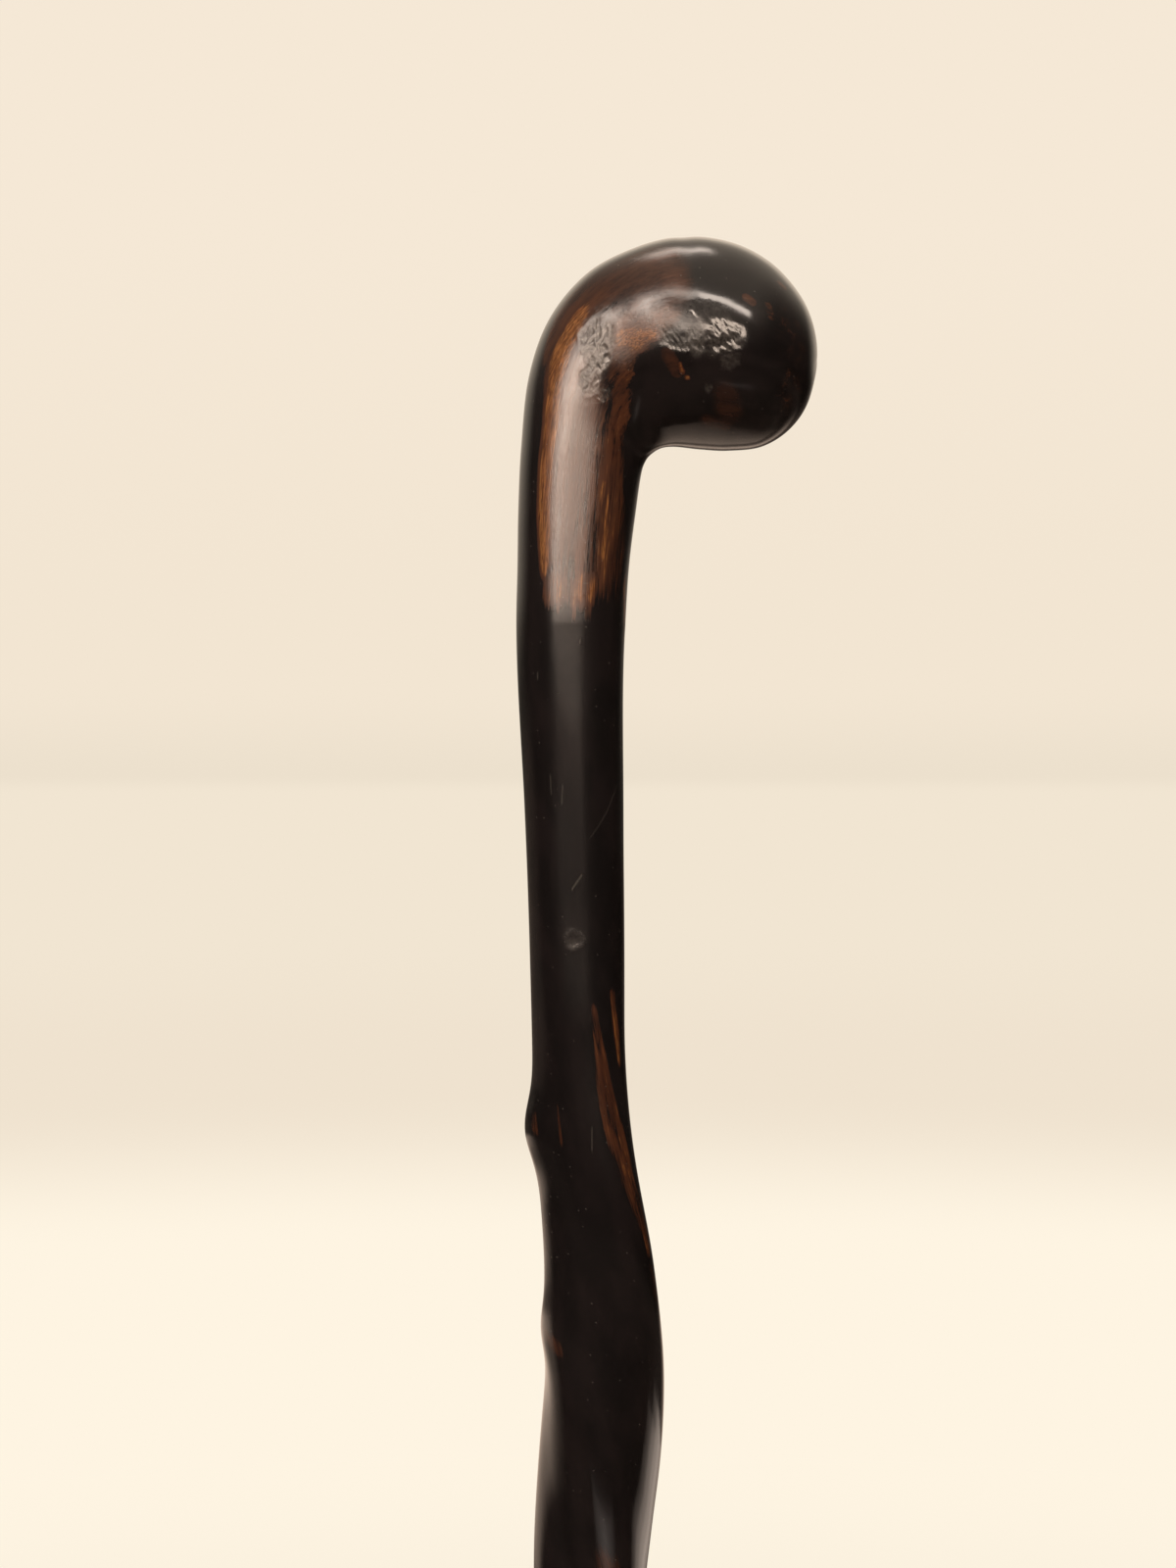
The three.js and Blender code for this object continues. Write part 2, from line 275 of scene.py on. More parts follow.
@dataclass(frozen=True)
class StainedWood:
    """Close-grained hardwood, stained black-brown, varnished, then rubbed through by hands.

    The stain lies in the grain, so where a hand has rubbed it away the edge is ragged along the
    fibres: black, then a thin purple-brown, then bare orange-brown wood with dark pores. The
    varnish keeps a soft gloss, duller where it is worn and full of hair scratches. A texture's
    pair of sizes is the width and the length of one fleck, in millimetres.
    """

    name: str = "stained_varnished_hardwood"
    black: str = "191515"
    black_worn: str = "201a1a"
    thin_stain: str = "44261a"
    thin_stain_light: str = "563220"
    # Lighter brown where the varnish is dulled: partly palm wear, partly painted sheen
    palm_brown_and_sheen: str = "6c4531"
    bare: str = "864f2b"
    bare_light: str = "ac713e"
    bare_dark: str = "4e2d18"
    scar_dark: str = "2d2826"
    # Pale scar grey: partly weathered wood, partly a painted silvery sheen
    scar_grey_and_sheen: str = "827a72"
    dust: str = "8d857c"
    fibre: tuple[float, float] = (0.34, 7.0)
    streak: tuple[float, float] = (1.9, 26.0)
    cloud: tuple[float, float] = (7.0, 16.0)
    pore: tuple[float, float] = (0.45, 2.6)
    orange_peel: tuple[float, float] = (1.6, 5.0)
    rub_mark: tuple[float, float] = (0.8, 2.2)
    thin_from: tuple[float, float] = (0.24, 0.52)
    bare_from: tuple[float, float] = (0.62, 0.86)
    grain_in_edge: float = 0.9
    gloss: float = 0.09
    relief_depth: float = 0.012

    def make(self) -> Material:
        """Builds the material.

        Returns:
            The finished material.
        """
        material, tree = new_material(self.name)
        grain = add_node(tree, "Attribute", out="Vector", attribute_name="straight")
        marks = {
            name: add_node(tree, "Attribute", out="Fac", attribute_name=name)
            for name in ("wear", "ragged", "scar", "scratch", "satin")
        }
        wood = {
            name: stretched(tree, grain, *size, Detail=detail, Roughness=0.6)
            for name, size, detail in (
                ("fibre", self.fibre, 3.0),
                ("streak", self.streak, 2.0),
                ("cloud", self.cloud, 2.0),
            )
        }
        cells = stretched(tree, grain, *self.pore, "TexVoronoi", Randomness=1.0)
        wood["pores"] = reckon(tree, ("SMOOTHSTEP", cells, 0.34, 0.16))
        self._wear_down(tree, marks, wood)
        colour = self._marked(tree, self._wood_colour(tree, marks, wood), marks, grain)
        gloss = ("MULTIPLY_ADD", wood["fibre"], 0.06, self.gloss)
        duller = ((marks["thin"], 0.03), (marks["satin"], 0.24), (marks["scar"], 0.25))
        roughness = weighted(gloss, *duller)
        relief = self._relief(tree, grain, marks, wood)
        finish_tree(tree, colour, roughness, relief, strength=1.0, depth=self.relief_depth, IOR=1.5)
        return material

    def _wear_down(self, tree: Tree, marks: dict[str, Socket], wood: dict[str, Socket]) -> None:
        """Breaks the edges of the rubbed patches up along the fibres.

        Args:
            tree: The material's nodes.
            marks: The painted layers, to which the thin stain and the bare wood are added.
            wood: The grain's textures.
        """
        grain = ("MULTIPLY", ("ADD", wood["fibre"], wood["streak"]), self.grain_in_edge)
        level = ("SUBTRACT", grain, self.grain_in_edge)
        touched = ("SMOOTHSTEP", marks["wear"], 0.02, 0.2)
        edge = ("MULTIPLY", marks["ragged"], touched)
        worn = reckon(tree, ("MULTIPLY_ADD", level, edge, marks["wear"]))
        marks["thin"] = reckon(tree, ("SMOOTHSTEP", worn, *self.thin_from))
        marks["bare"] = reckon(tree, ("SMOOTHSTEP", worn, *self.bare_from))

    def _wood_colour(self, tree: Tree, marks: dict[str, Socket], wood: dict[str, Socket]) -> Socket:
        """Lays the bare wood, the thin stain and the full stain over each other, with a lighter
        brown where the varnish is dulled that is partly palm wear and partly painted sheen.

        Args:
            tree: The material's nodes.
            marks: The painted layers.
            wood: The grain's textures.

        Returns:
            The colour under the varnish, with that painted sheen in it.
        """
        fine = reckon(tree, ("SMOOTHSTEP", wood["fibre"], 0.3, 0.7))
        broad = reckon(tree, ("SMOOTHSTEP", wood["streak"], 0.25, 0.75))
        slow = reckon(tree, ("SMOOTHSTEP", wood["cloud"], 0.35, 0.65))
        black = layered(tree, self.black, (slow, self.black_worn))
        # Painted sheen, partly palm wear: lighter brown along the grain where the varnish is dulled
        palm_sheen_share = ("MULTIPLY", ("MULTIPLY", marks["satin"], 0.5), ("ADD", fine, broad))
        brown = layered(
            tree,
            self.thin_stain,
            (broad, self.thin_stain_light),
            (("MULTIPLY", slow, 0.4), self.black_worn),
            (palm_sheen_share, self.palm_brown_and_sheen),
        )
        pored = ("MULTIPLY", wood["pores"], 0.6)
        bare = layered(tree, self.bare, (broad, self.bare_light))
        bare = layered(tree, self.bare_dark, (fine, bare), (pored, self.thin_stain))
        return layered(tree, black, (marks["thin"], brown), (marks["bare"], bare))

    def _marked(
        self, tree: Tree, colour: Socket, marks: dict[str, Socket], grain: Socket
    ) -> Socket:
        """Adds grey scars, their grey partly weathered wood and partly a painted silvery sheen,
        pale scratches and specks of dust in the varnish.

        Args:
            tree: The material's nodes.
            colour: The colour of the sound wood.
            marks: The painted layers.
            grain: The place in the straightened stick, in millimetres.

        Returns:
            The colour with the marks on it.
        """
        rough = {"Vector": grain, "Scale": 1.1, "Detail": 3.0, "Roughness": 0.65}
        crumbs = ("SMOOTHSTEP", add_node(tree, "TexNoise", rough), 0.3, 0.7)
        # Scar grey, partly weathered wood and partly painted silvery sheen
        grey_sheen_scar_colour = layered(tree, self.scar_dark, (crumbs, self.scar_grey_and_sheen))
        spots = {"Vector": grain, "Scale": 0.55, "Randomness": 1.0}
        away = add_node(tree, "TexVoronoi", spots)
        chance = away.node.outputs["Color"]
        speck = ("MULTIPLY", ("SMOOTHSTEP", away, 0.1, 0.05), ("SMOOTHSTEP", chance, 0.54, 0.62))
        return layered(
            tree,
            colour,
            (marks["scar"], grey_sheen_scar_colour),
            (("MULTIPLY", marks["scratch"], 0.4), self.dust),
            (("MULTIPLY", speck, 0.35), self.dust),
        )

    def _relief(
        self, tree: Tree, grain: Socket, marks: dict[str, Socket], wood: dict[str, Socket]
    ) -> Formula:
        """Fine relief in the varnish: raised fibres, open pores, scratches and orange peel.

        Args:
            tree: The material's nodes.
            grain: The place in the straightened stick, in millimetres.
            marks: The painted layers.
            wood: The grain's textures.

        Returns:
            The height of the relief, as a share of its depth.
        """
        peel = stretched(tree, grain, *self.orange_peel, Detail=1.0, Roughness=0.6)
        rub = stretched(tree, grain, *self.rub_mark, Detail=2.0, Roughness=0.6)
        rough = {"Vector": grain, "Scale": 2.3, "Detail": 2.0, "Roughness": 0.5}
        crumbs = add_node(tree, "TexNoise", rough)
        return weighted(
            peel,
            (wood["fibre"], 0.25),
            (("MULTIPLY", wood["fibre"], marks["thin"]), 0.6),
            (("MULTIPLY", wood["fibre"], marks["satin"]), 3.4),
            (("MULTIPLY", rub, marks["satin"]), 3.2),
            (("MULTIPLY", wood["pores"], marks["thin"]), -0.6),
            (marks["scratch"], -0.3),
            (("MULTIPLY", crumbs, marks["scar"]), 2.6),
        )


@dataclass(frozen=True)
class DrawnBrass:
    """Brass tube, drawn through a die, then dulled by handling.

    The die leaves hairlines along the tube; fingers and damp leave brown clouds in the yellow.
    """

    name: str = "drawn_brass"
    bright: str = "b99a5a"
    tarnished: str = "7a6238"
    grime: str = "33291c"
    hairline: tuple[float, float] = (0.25, 30.0)
    cloud_size: float = 6.0
    relief_depth: float = 0.01

    def make(self) -> Material:
        """Builds the material.

        Returns:
            The finished material.
        """
        material, tree = new_material(self.name)
        place = add_node(tree, "TexCoord", out="Object")
        drawn = stretched(tree, place, *(size * MM for size in self.hairline), Detail=2.0)
        cloudy = {"Scale": 1 / (self.cloud_size * MM), "Detail": 4.0, "Roughness": 0.65}
        clouds = add_node(tree, "TexNoise", {"Vector": place} | cloudy)
        dull = reckon(tree, ("SMOOTHSTEP", clouds, 0.38, 0.66))
        spots = ("SMOOTHSTEP", clouds, 0.66, 0.78)
        colour = layered(tree, self.bright, (dull, self.tarnished), (spots, self.grime))
        roughness = ("MULTIPLY_ADD", dull, 0.18, 0.24)
        depth = self.relief_depth
        finish_tree(tree, colour, roughness, drawn, strength=0.6, depth=depth, Metallic=1.0)
        return material


@dataclass(frozen=True)
class ScuffedSteel:
    """Turned mild steel, ground dull by the pavement.

    Turning leaves fine rings; use leaves scratches in every direction and brown specks of rust.
    """

    name: str = "scuffed_steel"
    bright: str = "8d8b88"
    dull: str = "55524f"
    rust: str = "4a3123"
    ring_spacing: float = 0.35
    scuff_size: float = 1.2
    relief_depth: float = 0.01
    # A wave texture of scale 1 repeats this many times in a unit
    waves_per_unit: float = 20

    def make(self) -> Material:
        """Builds the material.

        Returns:
            The finished material.
        """
        material, tree = new_material(self.name)
        place = add_node(tree, "TexCoord", out="Object")
        rings = 1000 / self.ring_spacing / self.waves_per_unit
        turned = {"Vector": place, "Scale": rings, "Distortion": 0.4}
        wave = add_node(tree, "TexWave", turned, "Fac", wave_type="RINGS", rings_direction="Z")
        scuffed = {"Scale": 1 / (self.scuff_size * MM), "Detail": 5.0, "Roughness": 0.7}
        scuffs = add_node(tree, "TexNoise", {"Vector": place} | scuffed)
        worn = reckon(tree, ("SMOOTHSTEP", scuffs, 0.35, 0.65))
        rusty = ("SMOOTHSTEP", scuffs, 0.64, 0.74)
        colour = layered(tree, self.bright, (worn, self.dull), (rusty, self.rust))
        roughness = ("MULTIPLY_ADD", worn, 0.2, 0.34)
        relief = ("MULTIPLY_ADD", scuffs, 1.5, wave)
        depth = self.relief_depth
        finish_tree(tree, colour, roughness, relief, strength=0.5, depth=depth, Metallic=1.0)
        return material


@dataclass(frozen=True)
class Viewpoint:
    """Where the photograph was taken from, in the cane's frame, and the size of its image."""

    x: float = -8.9
    distance: float = 600
    height: float = 766.3
    lens: float = 56.25
    sensor: float = 36
    columns: int = 1200
    rows: int = 1600

    def pixels(self, points: Array) -> tuple[Array, Array]:
        """Gives the column and row where each point shows, points in millimetres.

        Args:
            points: Rows of x, y and z.

        Returns:
            The columns and the rows.
        """
        scale = self.rows * self.lens / self.sensor / (points[..., 1] + self.distance)
        columns = self.columns / 2 + (points[..., 0] - self.x) * scale
        return columns, self.rows / 2 - (points[..., 2] - self.height) * scale


PHOTO = Viewpoint()


@dataclass(frozen=True)
class Rubbing:
    """A stretch where the stain is rubbed away, as a line of varying half width.

    The line is in the photograph's columns and rows on the front, and in the same units on the
    back, which the photograph doesn't show. Its half widths are millimetres over the skin.
    """

    line: tuple[tuple[float, float, float], ...]
    strength: float
    ragged: float = 0.6
    stretch: float = 2.5
    face: Face = Face.FRONT


@dataclass(frozen=True)
class Scar:
    """A scar in the wood, centred on a column and row, with its half sizes in pixels."""

    centre: tuple[float, float]
    half_width: float
    half_height: float
    lean: float
    depth: float
    relief: Relief
    # How much scar grey is laid on, weathered wood and painted silvery sheen together, and how much
    # rougher the varnish gets
    greyness: float = 1.0


@dataclass(frozen=True)
class Knot:
    """A trimmed side knot: where it stands, how high, and how long it is along the shaft."""

    drop: float
    bearing: float
    height: float
    length: float


@dataclass
class ShaftForm:
    """The winding shaft, in the same terms as the solid: stations, twist, wind and knots."""

    height: float = 900
    lean: float = 0.0171
    ferrule_top: float = 40.4
    shoulder: float = 40.7
    tip_radius: float = 10.3
    drops: tuple[float, ...] = (65, 100, 140, 185, 230, 280, 330)
    radii: tuple[float, ...] = (14.8, 13.4, 12.3, 11.8, 11.8, 14.0, 14.2)
    sways: tuple[float, ...] = (2.0, -0.2, 0.0, 0.2, 0.0, 0.0, 0.0)
    twist_start: float = 158
    twist_ease: float = 178
    first_pitch: float = 1290
    full_pitch: float = 219
    section_ease: float = 90
    ridge: tuple[float, float] = (2.4, 6)
    groove: tuple[float, float, float] = (0.8, 2.9, -80)
    three_sided: tuple[float, float] = (0.6, 19)
    four_sided: tuple[float, float] = (0.5, 46)
    wind_radius: float = 3.75
    wind_start: float = 193
    wind_ease: float = 58
    foot_ease: float = 120
    knot_sharpness: float = 6
    knots: tuple[Knot, ...] = (
        Knot(218, 270, 2.6, 9),
        Knot(266, 263, 1.7, 8),
        Knot(371, 35, 2.2, 9),
        Knot(452, 205, 1.8, 8),
        Knot(547, 100, 2.0, 9),
        Knot(668, 310, 1.6, 7),
    )

    def axis(self, height: Array) -> Array:
        """The x of the leaning axis at a height."""
        return -self.lean * np.maximum(height - self.ferrule_top, 0)

    def along(self, values: tuple[float, ...], foot: float, drop: Array) -> Array:
        """A smooth curve through one value of the stations, ending at the foot.

        Args:
            values: The value at each station.
            foot: The value at the shoulder over the ferrule.
            drop: Where the curve is wanted.

        Returns:
            The value at each drop.
        """
        at = np.array([*self.drops, self.height - self.shoulder])
        line = np.array([*values, foot])
        slope = np.empty(len(line))
        slope[1:-1] = (line[2:] - line[:-2]) / (at[2:] - at[:-2])
        slope[0] = (line[1] - line[0]) / (at[1] - at[0])
        slope[-1] = (line[-1] - line[-2]) / (at[-1] - at[-2])
        index = np.clip(np.searchsorted(at, drop, side="right") - 1, 0, len(at) - 2)
        span = at[index + 1] - at[index]
        t = (drop - at[index]) / span
        start_part = (1 + 2 * t) * (1 - t) ** 2 * line[index]
        end_part = (3 - 2 * t) * t**2 * line[index + 1]
        start_turn = t * (1 - t) ** 2 * span * slope[index]
        end_turn = (t - 1) * t**2 * span * slope[index + 1]
        return start_part + end_part + start_turn + end_turn

    def radius(self, drop: Array) -> Array:
        """The core radius at a drop."""
        return self.along(self.radii, self.tip_radius, drop)

    def middle(self, drop: Array) -> Array:
        """The x of the middle at a drop, without the winding."""
        return self.axis(self.height - drop) + self.along(self.sways, 0, drop)

    def twist(self, drop: Array) -> Array:
        """The bearing of the spiral ridge at a drop, in radians.

        Args:
            drop: How far below the crown.

        Returns:
            The bearing at each drop.
        """
        run = np.maximum(drop - self.twist_start, 0)
        eased = np.minimum(run, self.twist_ease)
        growth = (1 / self.full_pitch - 1 / self.first_pitch) / self.twist_ease
        turns = eased / self.first_pitch + growth * eased**2 / 2 + (run - eased) / self.full_pitch
        return 2 * math.pi * turns

    def rings(self, heights: Array, bearings: Array) -> tuple[Array, Array]:
        """Points round the shaft at each height.

        Args:
            heights: The height of each ring.
            bearings: The bearing of each column, in radians.

        Returns:
            The points, and the same points on the untwisted, straightened stick.
        """
        drop = self.height - heights
        twist = self.twist(drop)
        foot = ease(heights, self.shoulder, self.shoulder + self.foot_ease)
        form = foot * ease(drop, self.twist_start, self.twist_start + self.section_ease)
        wound = ease(drop, self.wind_start, self.wind_start + self.wind_ease)
        wind = self.wind_radius * foot * wound
        around = bearings[None, :] - twist[:, None]
        depth, sharpness, bearing = self.groove
        swell = self.ridge[0] * hump(around, self.ridge[1])
        swell = swell - depth * hump(around - math.radians(bearing), sharpness)
        for sides, (height, bearing) in ((3, self.three_sided), (4, self.four_sided)):
            swell = swell + height * np.cos(sides * (around - math.radians(bearing)))
        radius = self.radius(drop)[:, None] + form[:, None] * swell
        for knot in self.knots:
            along = np.exp(-(((drop - knot.drop) / knot.length) ** 2))
            side = hump(bearings - math.radians(knot.bearing), self.knot_sharpness)
            radius = radius + knot.height * along[:, None] * side[None, :]
        points = np.empty((len(heights), len(bearings), 3))
        points[..., 0] = (self.middle(drop) + wind * np.sin(twist))[:, None]
        points[..., 0] += radius * np.sin(bearings)
        points[..., 1] = -(wind * np.cos(twist))[:, None] - radius * np.cos(bearings)
        points[..., 2] = heights[:, None]
        straight = np.empty_like(points)
        straight[..., 0] = radius * np.sin(around)
        straight[..., 1] = -radius * np.cos(around)
        straight[..., 2] = heights[:, None]
        return points, straight


@dataclass
class HandleForm:
    """Neck, bend and root knob: a fan of ovals between an outer and an inner rail."""

    shaft: ShaftForm
    neck_drop: float = 95
    samples: int = 6000
    nose: tuple[float, float] = (62.0, 30)
    thickness: tuple[float, ...] = (
        27.2, 27.3, 27.6, 28.4, 30.4, 35, 42.6, 48.6, 50, 45, 33.6, 19,
    )
    outer: tuple[tuple[float, float], ...] = (
        *((-11.7, 80), (-11.5, 66), (-10.8, 51), (-8.9, 33.8), (-3.8, 19.6), (5.5, 8.6)),
        *((17.3, 2.5), (28.8, 0), (40.4, 1.4), (50.0, 6.1), (57.1, 13.4), (60.9, 21.1)),
    )
    inner: tuple[tuple[float, float], ...] = (
        *((16.1, 80), (17.8, 66), (19.0, 57.8), (20.1, 54.6), (21.7, 52.8), (24.1, 51.5)),
        *((27.4, 51.2), (33.4, 51.8), (40.4, 52.1), (48.6, 51.1), (55.4, 46.9), (60.0, 40.1)),
    )

    def _neck_drops(self) -> Array:
        """The drops of the two shaft stations that lead into the first rib."""
        return np.array([2 * self.neck_drop - self.outer[0][1], self.neck_drop])

    def rail(self, side: int, t: Array) -> Array:
        """One rail of the handle as a smooth curve.

        Args:
            side: -1 for the outer rail and 1 for the inner one.
            t: Rib numbers, from 1 at the neck to the nose.

        Returns:
            Rows of x and z.
        """
        ribs, others = (self.outer, self.inner) if side < 0 else (self.inner, self.outer)
        crown = float(self.shaft.axis(np.array(self.shaft.height)))
        starts = self._neck_drops()
        x = self.shaft.middle(starts) + side * self.shaft.radius(starts)
        knots = np.array([*zip(x - crown, starts), *ribs, self.nose, others[-1]], float)
        knots[:, 0] += crown
        knots[:, 1] = self.shaft.height - knots[:, 1]
        return self._through(knots, t)

    def half_thickness(self, t: Array) -> Array:
        """Half the thickness of the handle, front to back, at rib numbers.

        Args:
            t: The rib numbers.

        Returns:
            The half thickness at each.
        """
        starts = self.shaft.radius(self._neck_drops())
        halves = np.array(self.thickness) / 2
        knots = np.concatenate([starts, halves, [0, -halves[-1]]])
        return self._through(knots[:, None], t)[:, 0]

    @staticmethod
    def _through(knots: Array, t: Array) -> Array:
        """A smooth curve through rows of values, read at the row numbers t.

        Args:
            knots: The rows of values.
            t: Row numbers, whole or not.

        Returns:
            A row of values for each.
        """
        index = np.minimum(t.astype(int), len(knots) - 2)
        share = (t - index)[:, None]
        before = knots[np.maximum(index - 1, 0)]
        start, end = knots[index], knots[index + 1]
        after = knots[np.minimum(index + 2, len(knots) - 1)]
        leave, arrive = (end - before) / 2, (after - start) / 2
        cubic = 2 * start - 2 * end + leave + arrive
        square = -3 * start + 3 * end - 2 * leave - arrive
        return cubic * share**3 + square * share**2 + leave * share + start

    def rings(self, spacing: float, bearings: Array) -> tuple[Array, Array]:
        """Points round the handle, ring by ring up the neck and round to the nose.

        Args:
            spacing: The distance between rings along the outer rail.
            bearings: The bearing of each column, in radians.

        Returns:
            The points, and the same points on a straightened handle.
        """
        last = len(self.outer) + 2
        fine = np.linspace(1, last, self.samples)
        steps = np.linalg.norm(np.diff(self.rail(-1, fine), axis=0), axis=1)
        run = np.concatenate([[0], np.cumsum(steps)])
        count = int(run[-1] / spacing)
        t = np.interp(np.arange(count) * run[-1] / count, run, fine)
        outer, inner = self.rail(-1, t), self.rail(1, t)
        middle, reach = (outer + inner) / 2, (inner - outer) / 2
        half = np.linalg.norm(reach, axis=1)
        points = np.empty((count, len(bearings), 3))
        points[..., 0] = middle[:, :1] + reach[:, :1] * np.sin(bearings)
        points[..., 2] = middle[:, 1:] + reach[:, 1:] * np.sin(bearings)
        points[..., 1] = -self.half_thickness(t)[:, None] * np.cos(bearings)
        spine = np.concatenate([[0], np.cumsum(np.linalg.norm(np.diff(middle, axis=0), axis=1))])
        straight = np.empty_like(points)
        straight[..., 0] = half[:, None] * np.sin(bearings)
        straight[..., 1] = points[..., 1]
        straight[..., 2] = (self.shaft.height - self.neck_drop + spine)[:, None]
        return points, straight

    def nose_point(self) -> Array:
        """The tip of the knob."""
        x = float(self.shaft.axis(np.array(self.shaft.height))) + self.nose[0]
        return np.array([x, 0, self.shaft.height - self.nose[1]])


@dataclass
class Skin:
    """The stick's surface, ring by ring from below, and where each point of it lies.

    The straight points are those of the untwisted, straightened stick. Columns and rows are the
    photograph's. The marks are layers of values from 0 to 1, one for each kind of mark.
    """

    points: Array
    straight: Array
    normals: Array = field(init=False)
    column: Array = field(init=False)
    row: Array = field(init=False)
    around: Array = field(init=False)
    marks: dict[str, Array] = field(default_factory=dict)

    def __post_init__(self) -> None:
        """Works out the normals, the place in the photograph and the bearing in the wood."""
        across = np.roll(self.points, -1, axis=1) - np.roll(self.points, 1, axis=1)
        normals = np.cross(across, np.gradient(self.points, axis=0))
        lengths = np.linalg.norm(normals, axis=2, keepdims=True)
        self.normals = normals / np.maximum(lengths, 1e-9)
        self.column, self.row = PHOTO.pixels(self.points)
        self.around = np.arctan2(self.straight[..., 0], -self.straight[..., 1])

    def facing(self, low: float, high: float) -> Array:
        """How far each point faces the camera, eased between two values of its normal's y."""
        return ease(self.normals[..., 1], low, high)


